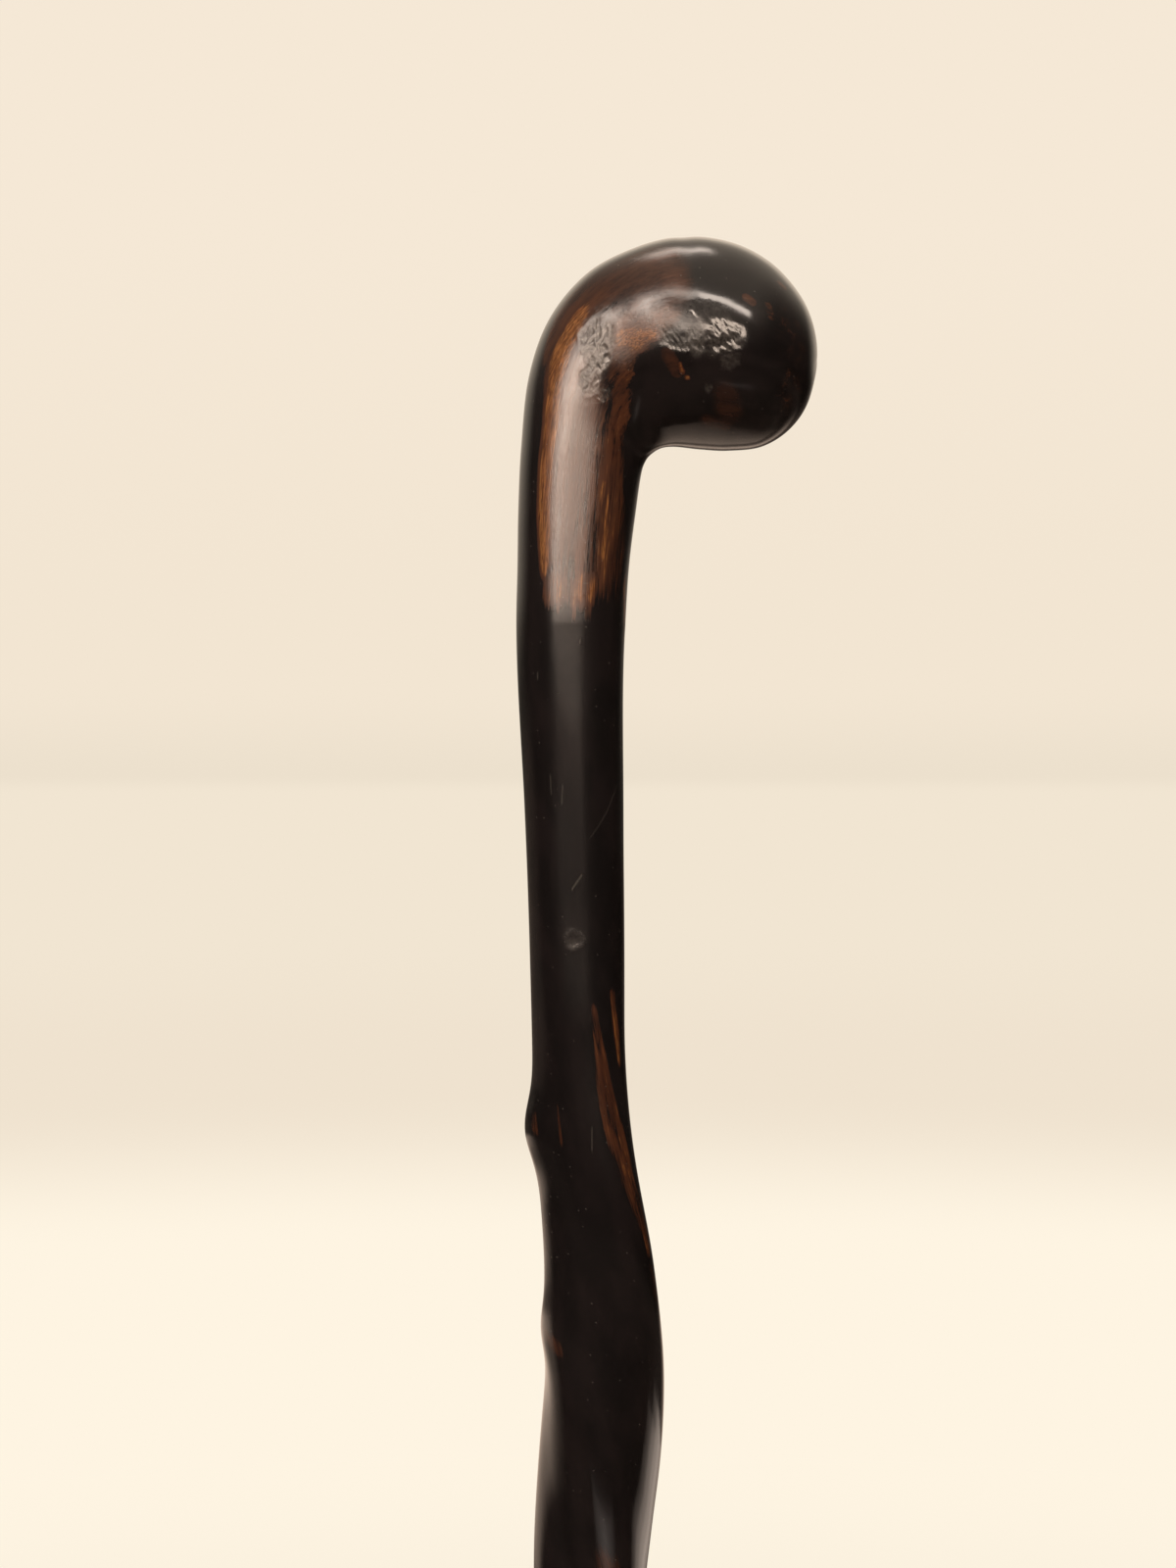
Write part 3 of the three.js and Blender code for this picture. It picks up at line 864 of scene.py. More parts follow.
@dataclass
class LacqueredStick:
    """The one-piece wooden stick, with its scars, rubbed stain and varnish."""

    shaft: ShaftForm = field(default_factory=ShaftForm)
    inset: float = 0.2
    front_step: float = 0.7
    front_reach: float = 52
    back_step: float = 2.6
    handle_spacing: float = 0.36
    upper_spacing: float = 0.6
    middle_spacing: float = 1.1
    lower_spacing: float = 2.0
    upper_end: float = 690
    middle_end: float = 560
    spigot_end: float = 7.2
    undulation: float = 0.07
    # Millimetres of the cane for a pixel of the photograph, and the noise's step between scars
    pixel: float = 0.24
    noise_step: float = 0.37
    # The hollow over the crown: its middle column, half width and depth, and where it fades
    crown_dip: tuple[float, float, float] = (697, 11, 0.25)
    crown_rows: tuple[float, float] = (345, 300)
    spigot_radii: tuple[float, float, float] = (8.05, 9.1, 9.85)
    shoulder_drop: float = 0.02
    rub_wander: float = 0.12
    rub_wave: float = 9
    rub_sharpness: float = 26

    rubbings: tuple[Rubbing, ...] = (
        # Orange strip down the outside of the bend and the neck
        Rubbing(((586, 326, 1.8), (577, 347, 3.2), (569, 380, 2.6), (563, 425, 2.3)), 0.95, 0.4),
        Rubbing(((563, 425, 2.3), (558, 470, 2.3), (555, 520, 2.1), (556, 572, 1.6)), 0.97, 0.8),
        # Thin purple-brown over the top of the bend, up to the subtle boundary on the knob
        Rubbing(((590, 312, 8), (622, 286, 9), (662, 268, 9), (676, 298, 8)), 0.44, 0.06, 1.0),
        Rubbing(((632, 336, 8), (655, 328, 8), (676, 320, 5)), 0.46, 0.15, 1.0),
        Rubbing(((636, 343, 2.6), (650, 346, 3.2), (663, 341, 2.0)), 0.86, 0.35, 1.2),
        Rubbing(((562, 352, 2.6), (572, 326, 3.0)), 0.56, 0.3, 1.5),
        Rubbing(((642, 358, 3.0), (632, 372, 4)), 0.42, 0.4, 1.5),
        # The palm's band on the neck
        Rubbing(((600, 350, 7), (594, 430, 9), (590, 520, 10), (590, 570, 9)), 0.44, 0.2, 1.5),
        Rubbing(((634, 390, 2), (634, 420, 2.6), (628, 450, 3)), 0.5, 0.8, 2.0),
        Rubbing(((625, 455, 3), (622, 520, 5), (624, 575, 5)), 0.52, 0.8, 2.0),
        Rubbing(((616, 500, 1.6), (618, 528, 2.2), (615, 560, 1.6)), 0.68, 1.0, 2.5),
        # The ragged lower end of the rubbed grip
        Rubbing(((560, 600, 1.5), (568, 603, 1.6)), 0.74, 0.9, 3.0),
        Rubbing(((570, 602, 1.6), (592, 602, 1.6)), 0.5, 1.0, 3.0),
        Rubbing(((592, 602, 1.8), (605, 600, 1.5)), 0.74, 1.0, 3.0),
        Rubbing(((600, 604, 1.6), (600, 618, 1.4)), 0.42, 0.8, 3.0),
        Rubbing(((638, 600, 0.8), (638, 650, 0.7)), 0.7, 1.0, 4.0),
        # Small rubs and chips on the knob
        Rubbing(((797, 289, 1.0), (800, 292, 1.0)), 0.6, 0.2, 1.0),
        Rubbing(((762, 304, 1.2), (768, 307, 1.2)), 0.66, 0.15, 1.0),
        Rubbing(((784, 312, 1.4), (788, 322, 1.4)), 0.36, 0.1, 1.0),
        Rubbing(((740, 402, 5.5), (744, 420, 6)), 0.34, 0.05, 1.0),
        Rubbing(((722, 432, 3.4), (740, 436, 3)), 0.34, 0.1, 1.0),
        Rubbing(((681, 362, 2.6), (690, 378, 2.4)), 0.38, 0.15, 1.0),
        Rubbing(((694, 372, 0.4), (696, 379, 0.8)), 0.8, 0.5, 1.0),
        Rubbing(((701, 385, 0.6), (702, 386, 0.6)), 0.76, 0.5, 1.0),
        Rubbing(((806, 320, 6), (814, 360, 6), (806, 410, 5)), 0.26, 0.4, 1.0),
        # Streaks where the ridge comes out of the grip
        Rubbing(((626, 1018, 1.1), (629, 1048, 1.6), (632, 1080, 1.1)), 0.6, 1.3, 2.0),
        Rubbing(((607, 1030, 0.8), (613, 1070, 1.3), (618, 1106, 1.9)), 0.6, 1.2, 2.0),
        Rubbing(((617, 1096, 1.9), (622, 1124, 2.8), (634, 1170, 3.2)), 0.5, 1.0, 2.0),
        Rubbing(((634, 1166, 3.0), (646, 1212, 2.8), (662, 1272, 1.6)), 0.5, 1.0, 2.0),
        Rubbing(((632, 1160, 0.9), (640, 1190, 1.3), (648, 1216, 0.9)), 0.6, 1.2, 2.0),
        Rubbing(((568, 1130, 0.3), (572, 1168, 0.5)), 0.5, 0.9, 3.0),
        Rubbing(((665, 1298, 1.6), (669, 1322, 1.6)), 0.34, 0.5, 2.0),
        Rubbing(((545, 1140, 1.6), (545, 1154, 1.6)), 0.34, 0.5, 1.0),
        Rubbing(((556, 1364, 2.0), (569, 1374, 2.0)), 0.42, 0.2, 1.5),
        Rubbing(((622, 1604, 4.0), (628, 1640, 4.0)), 0.42, 0.25, 2.0),
        # The back of the grip, where the fingers lie, and the back of the knob
        Rubbing(
            ((586, 326, 2.8), (575, 390, 3), (566, 460, 2.6), (562, 556, 2)),
            0.96, 0.8, 2.5, Face.BACK,
        ),
        Rubbing(((600, 380, 9), (600, 480, 11), (600, 572, 9)), 0.5, 0.3, 1.5, Face.BACK),
        Rubbing(((624, 440, 2.2), (630, 500, 2.6), (626, 566, 2)), 0.76, 1.0, 2.5, Face.BACK),
        Rubbing(((600, 300, 9), (650, 276, 10), (700, 300, 8)), 0.46, 0.3, 1.2, Face.BACK),
        Rubbing(((724, 330, 3), (752, 350, 3.4)), 0.74, 0.8, 1.2, Face.BACK),
        Rubbing(((596, 1060, 1), (584, 1120, 1.8), (570, 1190, 1)), 0.8, 0.8, 3.0, Face.BACK),
    )
    # Dulled varnish: rougher, and where the thin stain shows, a lighter brown that is partly
    # painted sheen
    dulled: tuple[Rubbing, ...] = (
        Rubbing(((592, 400, 7), (588, 440, 10), (588, 520, 11), (588, 586, 9)), 0.5, stretch=1.2),
        Rubbing(((588, 480, 8), (588, 580, 8)), 0.6, stretch=1.2),
        Rubbing(((640, 348, 5), (662, 342, 4)), 1.0, stretch=1.0),
        Rubbing(((680, 332, 4.5), (702, 336, 3.5)), 0.9, stretch=1.0),
        Rubbing(((590, 616, 7), (590, 690, 7.5)), 0.42, stretch=2.5),
        Rubbing(((588, 640, 8), (590, 960, 8.5)), 0.28, stretch=2.5),
        Rubbing(((806, 376, 12), (822, 402, 9)), 0.16, stretch=1.0),
        Rubbing(((690, 262, 9), (722, 260, 8)), 0.3, stretch=1.2),
        Rubbing(((588, 400, 10), (588, 590, 10)), 0.5, stretch=1.2, face=Face.BACK),
    )
    # Scars; their grey is weathered wood and partly a painted silvery sheen
    scars: tuple[Scar, ...] = (
        Scar((609, 350), 18, 30, 8, 0.16, Relief.LOPPED, 0.6),
        Scar((602, 386), 12, 17, 10, 0.13, Relief.LOPPED, 0.42),
        Scar((616, 402), 8, 8, 0, 0.06, Relief.LOPPED, 0.16),
        Scar((686, 343), 18, 13, 50, 0.15, Relief.CHIPPED, 0.2),
        Scar((709, 347), 15, 16, -10, 0.15, Relief.CHIPPED, 0.28),
        Scar((738, 343), 20, 21, -20, 0.19, Relief.CHIPPED, 0.24),
        Scar((744, 366), 11, 12, -20, 0.14, Relief.CHIPPED, 0.14),
        Scar((716, 318), 26, 14, 0, 0.05, Relief.CHIPPED, 0.1),
        Scar((723, 396), 4, 5, 0, 0.2, Relief.CHIPPED, 0.15),
        Scar((586, 960), 12, 11, 0, 0.06, Relief.RING, 0.09),
    )
    scratches: tuple[tuple[float, tuple[tuple[float, float], ...]], ...] = (
        (0.3, ((561, 790), (562, 810))),
        (0.3, ((574, 800), (573, 820))),
        (0.2, ((631, 800), (620, 828), (610, 845), (602, 855))),
        (0.8, ((594, 893), (588, 901), (584, 907))),
        (0.4, ((604, 1151), (604, 1176))),
        (0.5, ((600, 478), (607, 483))),
        (0.5, ((592, 535), (594, 548), (598, 554))),
        (0.4, ((575, 566), (580, 580), (583, 568))),
        (0.5, ((596, 562), (598, 574))),
        (0.3, ((603, 400), (604, 411), (612, 411))),
        (0.5, ((590, 594), (600, 595))),
        (0.6, ((592, 652), (592, 657))),
        (0.4, ((548, 686), (548, 692))),
    )
    ridge_rubs: tuple[tuple[float, float, float], ...] = (
        (370, 24, 0.75),
        (430, 34, 0.9),
        (505, 20, 0.6),
        (590, 38, 0.95),
        (690, 26, 0.8),
        (760, 30, 0.9),
        (826, 18, 0.7),
    )

    def build(self, finish: Material) -> bpy.types.Object:
        """Builds the stick.

        Args:
            finish: The varnished wood.

        Returns:
            The finished piece.
        """
        bearings = self._bearings()
        skin = self._surface(bearings)
        self._paint(skin)
        skin.points += skin.normals * (self._relief(skin) - self.inset)[..., None]
        self._add_spigot(skin, bearings)
        made = self._mesh(skin, finish)
        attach(made, "root")
        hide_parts("stick")
        return made

    def _bearings(self) -> Array:
        """Columns round the stick, close together on the front, in radians.

        Returns:
            The bearing of each column.
        """
        reach = self.front_reach
        front = np.arange(-reach, reach, self.front_step)
        back = np.arange(reach, 360 - reach, self.back_step)
        return np.radians(np.concatenate([front, back]))

    def _surface(self, bearings: Array) -> Skin:
        """The plain surface from the shoulder over the ferrule up to the nose.

        Args:
            bearings: The bearing of each column.

        Returns:
            The bare skin.
        """
        handle = HandleForm(self.shaft)
        stretches = (
            (self.shaft.shoulder, self.middle_end, self.lower_spacing),
            (self.middle_end, self.upper_end, self.middle_spacing),
            (self.upper_end, self.shaft.height - handle.neck_drop, self.upper_spacing),
        )
        heights = [
            np.linspace(low, high, int((high - low) / spacing), endpoint=False)
            for low, high, spacing in stretches
        ]
        shaft = self.shaft.rings(np.concatenate(heights), bearings)
        knob = handle.rings(self.handle_spacing, bearings)
        return Skin(*(np.concatenate(pair) for pair in zip(shaft, knob)))

    def _paint(self, skin: Skin) -> None:
        """Paints where the stain is rubbed, the scars, the scratches and the dulled varnish.

        Args:
            skin: The bare skin, which gets its marks.
        """
        front = skin.facing(0.3, 0.0)
        empty = np.zeros(skin.row.shape)
        wear, scar, scratch, satin, ragged = empty, empty, empty, empty, empty + 0.3
        for rubbing in self.rubbings:
            share = self._over_skin(rubbing, skin)
            wear = np.maximum(wear, ease(share, 1.7, 0.3) * rubbing.strength)
            ragged = ragged + (rubbing.ragged - ragged) * ease(share, 1.9, 1.2)
        ridge = self._ridge_wear(skin)
        wear = np.maximum(wear, ridge)
        ragged = np.maximum(ragged, 0.8 * ease(ridge, 0.05, 0.2))
        # Scar mask: grey that is partly painted sheen, and rougher varnish
        for each in self.scars:
            inside = ease(self._scar_distance(each, skin), 1.25, 0.65)
            scar = np.maximum(scar, inside * each.greyness * front)
        for strength, line in self.scratches:
            near = ease(self._from_line(line, skin), 0.9, 0.2)
            scratch = np.maximum(scratch, near * front * strength)
        for rubbing in self.dulled:
            level = ease(self._over_skin(rubbing, skin), 1.6, 0.4)
            satin = np.maximum(satin, level * rubbing.strength)
        skin.marks = {"wear": wear, "ragged": ragged, "scar": scar}
        skin.marks |= {"scratch": scratch, "satin": satin}

    @staticmethod
    def _over_skin(rubbing: Rubbing, skin: Skin) -> Array:
        """Distance to a rubbing over the straightened skin, as a share of its half width.

        Args:
            rubbing: The rubbed stretch.
            skin: The stick's skin.

        Returns:
            0 on the line and 1 at its edge.
        """
        height = skin.straight[..., 2]
        radius = np.hypot(skin.straight[..., 0], skin.straight[..., 1])
        hidden = 1e4 * (skin.normals[..., 1] * rubbing.face.value < 0)
        places = []
        for column, row, half in rubbing.line:
            gap = np.hypot(skin.column - column, skin.row - row) + hidden
            at = np.unravel_index(np.argmin(gap), gap.shape)
            places.append((skin.around[at], height[at], half))
        best = np.full(radius.shape, 1e3)
        for start, end in zip(places[:-1], places[1:]):
            turn = (end[0] - start[0] + math.pi) % (2 * math.pi) - math.pi
            across = (skin.around - start[0] + math.pi) % (2 * math.pi) - math.pi
            u, v = across * radius, (height - start[1]) / rubbing.stretch
            du, dv = turn * radius, (end[1] - start[1]) / rubbing.stretch
            t = np.clip((u * du + v * dv) / np.maximum(du**2 + dv**2, 1e-6), 0, 1)
            wide = start[2] + (end[2] - start[2]) * t
            best = np.minimum(best, np.hypot(u - t * du, v - t * dv) / wide)
        return best

    @staticmethod
    def _from_line(line: Sequence[tuple[float, float]], skin: Skin) -> Array:
        """Distance to a thin line in the photograph, in pixels.

        Args:
            line: The line's columns and rows.
            skin: The stick's skin.

        Returns:
            The distance to the nearest stretch of the line.
        """
        column, row = skin.column, skin.row
        best = np.full(column.shape, 1e3)
        for (start_x, start_y), (end_x, end_y) in zip(line[:-1], line[1:]):
            right, down = end_x - start_x, end_y - start_y
            t = (column - start_x) * right + (row - start_y) * down
            t = np.clip(t / (right**2 + down**2), 0, 1)
            away = np.hypot(column - start_x - t * right, row - start_y - t * down)
            best = np.minimum(best, away)
        return best

    @staticmethod
    def _scar_distance(scar: Scar, skin: Skin) -> Array:
        """Distance from a scar's centre as a share of its size, in its own leaning frame.

        Args:
            scar: The scar.
            skin: The stick's skin.

        Returns:
            0 at the centre and 1 at the uneven edge.
        """
        lean = math.radians(scar.lean)
        right, up = skin.column - scar.centre[0], scar.centre[1] - skin.row
        across = right * math.cos(lean) - up * math.sin(lean)
        along = right * math.sin(lean) + up * math.cos(lean)
        turn = np.arctan2(along, across)
        wobble = 1 + 0.1 * np.sin(3 * turn + scar.centre[0]) + 0.06 * np.sin(7 * turn + 1)
        return np.hypot(across / scar.half_width, along / scar.half_height) / wobble

    def _ridge_wear(self, skin: Skin) -> Array:
        """Rubs the stain off stretches of the spiral ridge.

        Args:
            skin: The stick's skin.

        Returns:
            The wear from these rubs.
        """
        drop = self.shaft.height - skin.points[..., 2]
        wear = np.zeros(drop.shape)
        for middle, half, strength in self.ridge_rubs:
            wander = self.rub_wander * np.sin(drop / self.rub_wave + middle)
            along = np.exp(-(((drop - middle) / half) ** 2))
            narrow = hump(skin.around - wander, self.rub_sharpness)
            wear = np.maximum(wear, strength * along * narrow)
        return wear

    def _relief(self, skin: Skin) -> Array:
        """How far the real surface lies above the plain one, in millimetres.

        Args:
            skin: The stick's skin.

        Returns:
            Heights along the normals.
        """
        raised = self._knife_waves(skin)
        for scar in self.scars:
            raised = raised + self._scar_relief(scar, skin)
        middle, half, depth = self.crown_dip
        dip = np.exp(-(((skin.column - middle) / half) ** 2))
        return raised - depth * skin.facing(0.2, -0.2) * ease(skin.row, *self.crown_rows) * dip

    def _knife_waves(self, skin: Skin) -> Array:
        """The long shallow waves that a spokeshave leaves under the varnish.

        Args:
            skin: The stick's skin.

        Returns:
            Heights in millimetres.
        """
        angle, z = skin.around, skin.straight[..., 2]
        waves = np.sin(5 * angle + z / 17) + 0.7 * np.sin(3 * angle - z / 23 + 1.3)
        waves = waves + 0.6 * np.sin(8 * angle + z / 11 + 0.4)
        return self.undulation * waves / 2.3

    def _scar_relief(self, scar: Scar, skin: Skin) -> Array:
        """The relief of one scar.

        Args:
            scar: The scar.
            skin: The stick's skin.

        Returns:
            Heights, 0 outside the scar.
        """
        away = self._scar_distance(scar, skin)
        near = (away < 1.5) & (skin.normals[..., 1] < 0.1)
        raised = np.zeros(away.shape)
        for at in zip(*np.nonzero(near)):
            across, down = skin.column[at] * self.pixel, skin.row[at] * self.pixel
            place = Vector((across, down, scar.centre[0] * self.noise_step))
            lower = (skin.row[at] - scar.centre[1]) / scar.half_height
            height = self._scar_height(scar.relief, place, float(away[at]), float(lower))
            raised[at] = height * scar.depth
        return raised

    @staticmethod
    def _scar_height(kind: Relief, place: Vector, away: float, lower: float) -> float:
        """The height of a scar's surface, inside and on its edge.

        Args:
            kind: The kind of scar.
            place: The place in millimetres.
            away: The share of the scar's size from its centre.
            lower: The share of its half height below the centre.

        Returns:
            The height as a share of the scar's depth.
        """
        if kind is Relief.LOPPED:
            bend = noise.noise(place * 0.3) * 1.8
            bark = Vector(((place.x + bend) / 1.1, place.y / 2.1, place.z))
            folds = 1 - 1.8 * abs(noise.noise(bark)) - 0.5 * abs(noise.noise(bark * 2.2))
            inside = float(ease(np.array(away), 1.08, 0.7))
            lip = math.exp(-(((away - 1.06) / 0.14) ** 2))
            return inside * (folds - 0.95) + 0.12 * lip
        if kind is Relief.CHIPPED:
            across = 0.9 * place.x - 0.42 * place.y
            along = 0.42 * place.x + 0.9 * place.y
            torn = 1 - 2 * abs(noise.noise(Vector((across / 0.75, along / 2.8, place.z))))
            plate = Vector((across / 2.6, along / 3.4, place.z))
            site = noise.voronoi(plate)[1][0]
            lean = plate - site
            facet = lean.x * math.sin(9 * site.x) + lean.y * math.cos(8 * site.y)
            step = 0.5 * math.sin(23 * site.x + 11 * site.y)
            inside = float(ease(np.array(away), 1.2, 0.3))
            dip = max(lower + 0.95, 0)
            return inside * (0.6 * facet + 0.35 * step + 0.9 * torn - 0.9 - dip)
        lip = math.exp(-(((away - 0.78) / 0.2) ** 2))
        pit = math.exp(-((away / 0.5) ** 2))
        return (0.7 * lip - pit) * (1 + 0.5 * noise.noise(place))

    def _add_spigot(self, skin: Skin, bearings: Array) -> None:
        """Adds the rounded shoulder and the turned end that fills the ferrule.

        Args:
            skin: The finished skin above the shoulder, which gets the new rings.
            bearings: The bearing of each column.
        """
        shoulder = self.shaft.shoulder
        heights = np.array([self.spigot_end, shoulder - self.shoulder_drop, shoulder])[:, None]
        radii = np.array(self.spigot_radii)[:, None]
        circle = radii * np.sin(bearings), -radii * np.cos(bearings), heights + 0 * bearings
        rings = np.stack(circle, axis=2)
        skin.points = np.concatenate([rings, skin.points])
        skin.straight = np.concatenate([rings, skin.straight])
        for name, layer in skin.marks.items():
            skin.marks[name] = np.concatenate([np.zeros(rings.shape[:2]), layer])

    def _mesh(self, skin: Skin, finish: Material) -> bpy.types.Object:
        """Skins the rings, closes both ends and stores the painted layers.

        Args:
            skin: The finished skin, from the spigot's end to the nose.
            finish: The varnished wood.

        Returns:
            The new object.
        """
        rows, columns = skin.points.shape[:2]
        foot = np.array([0, 0, self.spigot_end])
        nose = HandleForm(self.shaft).nose_point() - np.array([self.inset, 0, 0])
        points = np.concatenate([skin.points.reshape(-1, 3), [foot, nose]])
        index = np.arange(rows * columns).reshape(rows, columns)
        after = np.roll(index, -1, axis=1)
        sides = (index[:-1], after[:-1], after[1:], index[1:])
        faces = np.stack([side.ravel() for side in sides], axis=1).tolist()
        for low, high, start, end in zip(index[0], index[-1], after[0], after[-1]):
            faces.append([rows * columns, int(start), int(low)])
            faces.append([rows * columns + 1, int(high), int(end)])
        made = mesh_object("lacquered_stick", points, faces, finish)
        inside = [foot, skin.straight[-1].mean(axis=0)]
        flat = np.concatenate([skin.straight.reshape(-1, 3), inside])
        layer = made.data.attributes.new("straight", "FLOAT_VECTOR", "POINT")
        layer.data.foreach_set("vector", flat.astype(np.float32).ravel())
        for name, values in skin.marks.items():
            layer = made.data.attributes.new(name, "FLOAT", "POINT")
            padded = np.concatenate([values.ravel(), [0, values[-1].mean()]])
            layer.data.foreach_set("value", padded.astype(np.float32))
        return made


@dataclass
class Ferrule:
    """A tapered brass tube with a rolled bead, a steel wear plate and two nails."""

    wear_depth: float = 2.4
    tube_length: float = 38
    top_diameter: float = 20.6
    foot_diameter: float = 18.2
    wall: float = 0.9
    bead_diameter: float = 1.6
    seat_gap: float = 0.3
    wear_round: float = 1.4
    boss_top: float = 6.9
    nail_height: float = 27
    nail_length: float = 8
    nail_diameter: float = 1.4
    nail_head_diameter: float = 3.4
    nail_head_height: float = 0.9
    nail_point: float = 2
    segments: int = 96
    nail_segments: int = 32
    sharp_angle: float = 50
    chamfer: float = 0.15
    groove_drop: float = 2.1
    groove_half: float = 0.5
    groove_depth: float = 0.12

    def outside(self, height: float) -> float:
        """The tube's outside radius at a height."""
        share = (height - self.wear_depth) / self.tube_length
        return (self.foot_diameter + (self.top_diameter - self.foot_diameter) * share) / 2

    def build(
        self, brass: Material, steel: Material
    ) -> list[bpy.types.Object]:
        """Builds the tube, the wear plate and the two nails.

        Args:
            brass: The tube's and the nails' finish.
            steel: The wear plate's finish.

        Returns:
            The four pieces.
        """
        tube = self._turned("ferrule_tube", self._tube_profile(), brass)
        plate = self._turned("wear_plate", self._plate_profile(), steel)
        nails = [self._nail(side, brass) for side in (1, -1)]
        for piece, node, slot in (
            (tube, "ferrule_sleeve", "ferrule_brass"),
            (plate, "ferrule_plug", "wear_steel"),
            (nails[0], "ferrule_nail_right", "ferrule_brass"),
            (nails[1], "ferrule_nail_left", "ferrule_brass"),
        ):
            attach(piece, "root")
            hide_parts(node)
        return [tube, plate, *nails]

    def _tube_profile(self) -> list[tuple[float, float]]:
        """The tube's wall in section: inside, foot, taper, a rolled groove, bead and top.

        Returns:
            Pairs of radius and height.
        """
        top = self.wear_depth + self.tube_length
        low = self.wear_depth + self.seat_gap
        bead = self.bead_diameter / 2
        bead_height = top - bead
        centre = self.outside(bead_height)
        round_bead = [
            (centre + bead * math.cos(angle), bead_height + bead * math.sin(angle))
            for angle in np.radians(np.linspace(-65, 88, 15))
        ]
        groove = bead_height - self.groove_drop
        plain = (low + 0.3, 12, 22, 32, groove - self.groove_half)
        lower = (groove + self.groove_half, bead_height - 1.0)
        return [
            (self.outside(low) - self.wall, low + self.chamfer),
            (self.outside(low) - self.wall + self.chamfer, low),
            (self.outside(low) - 0.3, low),
            (self.outside(low) - 0.09, low + 0.09),
            (self.outside(low), plain[0]),
            *((self.outside(height), height) for height in plain[1:]),
            (self.outside(groove) - self.groove_depth, groove),
            *((self.outside(height), height) for height in lower),
            *round_bead,
            (self.outside(top) - self.wall + 0.1, top),
            (self.outside(top) - self.wall, top - 0.1),
        ]

    def _plate_profile(self) -> list[tuple[float, float]]:
        """The wear plate in section, a disc with a ground edge and a boss inside the tube.

        Returns:
            Pairs of radius and height.
        """
        edge = self.outside(self.wear_depth)
        ground = [
            (
                edge - self.wear_round + self.wear_round * math.cos(angle),
                self.wear_round + self.wear_round * math.sin(angle),
            )
            for angle in np.radians(np.linspace(-90, 0, 10))
        ]
        boss = edge - self.wall - self.seat_gap
        return [
            (0, 0),
            (3.5, 0),
            (6.5, 0),
            *ground,
            (edge, self.wear_depth - 0.12),
            (edge - 0.12, self.wear_depth),
            (boss, self.wear_depth),
            (boss, self.boss_top),
            (0, self.boss_top),
        ]

    def _nail(self, side: int, brass: Material) -> bpy.types.Object:
        """One round-headed nail, laid out to a side of the tube.

        Args:
            side: 1 for the right and -1 for the left.
            brass: The finish.

        Returns:
            The nail.
        """
        seat = self.outside(self.nail_height) + self.seat_gap
        point = seat - self.nail_length
        shank = self.nail_diameter / 2
        head = self.nail_head_diameter / 2
        dome = [
            (head * math.cos(angle), seat + self.nail_head_height * math.sin(angle))
            for angle in np.linspace(0, math.pi / 2, 9)
        ]
        dome[-1] = (0, dome[-1][1])
        profile = [(0, point), (shank, point + self.nail_point), (shank, seat), *dome]
        name = "ferrule_nail_head_right" if side > 0 else "ferrule_nail_head_left"
        return self._turned(name, profile, brass, side, self.nail_segments)

    def _turned(
        self,
        name: str,
        profile: list[tuple[float, float]],
        finish: Material,
        side: int = 0,
        segments: int | None = None,
    ) -> bpy.types.Object:
        """Turns a profile about its axis.

        Args:
            name: The piece's name.
            profile: Pairs of radius and height; a radius of 0 closes an end.
            finish: The piece's finish.
            side: 0 upright, or 1 or -1 to lay the axis out to that side at the nails' height.
            segments: How many steps round, or none for the ferrule's own.

        Returns:
            The piece.
        """
        count = segments or self.segments
        closed = profile[0][0] > 0
        rows: list[list[int]] = []
        points: list[tuple[float, float, float]] = []
        for radius, height in profile:
            steps = 1 if radius == 0 else count
            rows.append([len(points) + step % steps for step in range(count)])
            for step in range(steps):
                angle = 2 * math.pi * step / count
                points.append((radius * math.cos(angle), radius * math.sin(angle), height))
        pairs = list(zip(rows[:-1], rows[1:]))
        if closed:
            pairs.append((rows[-1], rows[0]))
        faces = []
        for low, high in pairs:
            for step in range(count):
                after = (step + 1) % count
                face = dict.fromkeys([low[step], low[after], high[after], high[step]])
                faces.append(list(face))
        place = np.array(points)
        if side:
            place = np.stack(
                [side * place[:, 2], place[:, 1], self.nail_height - side * place[:, 0]], axis=1
            )
        made = mesh_object(name, place, faces, finish)
        made.data.set_sharp_from_angle(angle=math.radians(self.sharp_angle))
        return made


@dataclass(frozen=True)
class Lamp:
    """A rectangular lamp that faces the cane, between two directions in which the cane sees it.

    A direction is a bearing and a rise above level, in degrees. The breadth is across the line
    between them, in degrees too. A lamp either is mirrored by the varnish or lights the matt
    surfaces. One with a narrow beam is masked like a softbox with slats, so that only the part
    of the cane round its height sees it.
    """

    name: str
    start: tuple[float, float]
    end: tuple[float, float]
    breadth: float
    radiance: float
    colour: str = "ffeee0"
    mirrored: bool = True
    distance: float = 1.7
    height: float = 0.87
    beam: float = 180.0


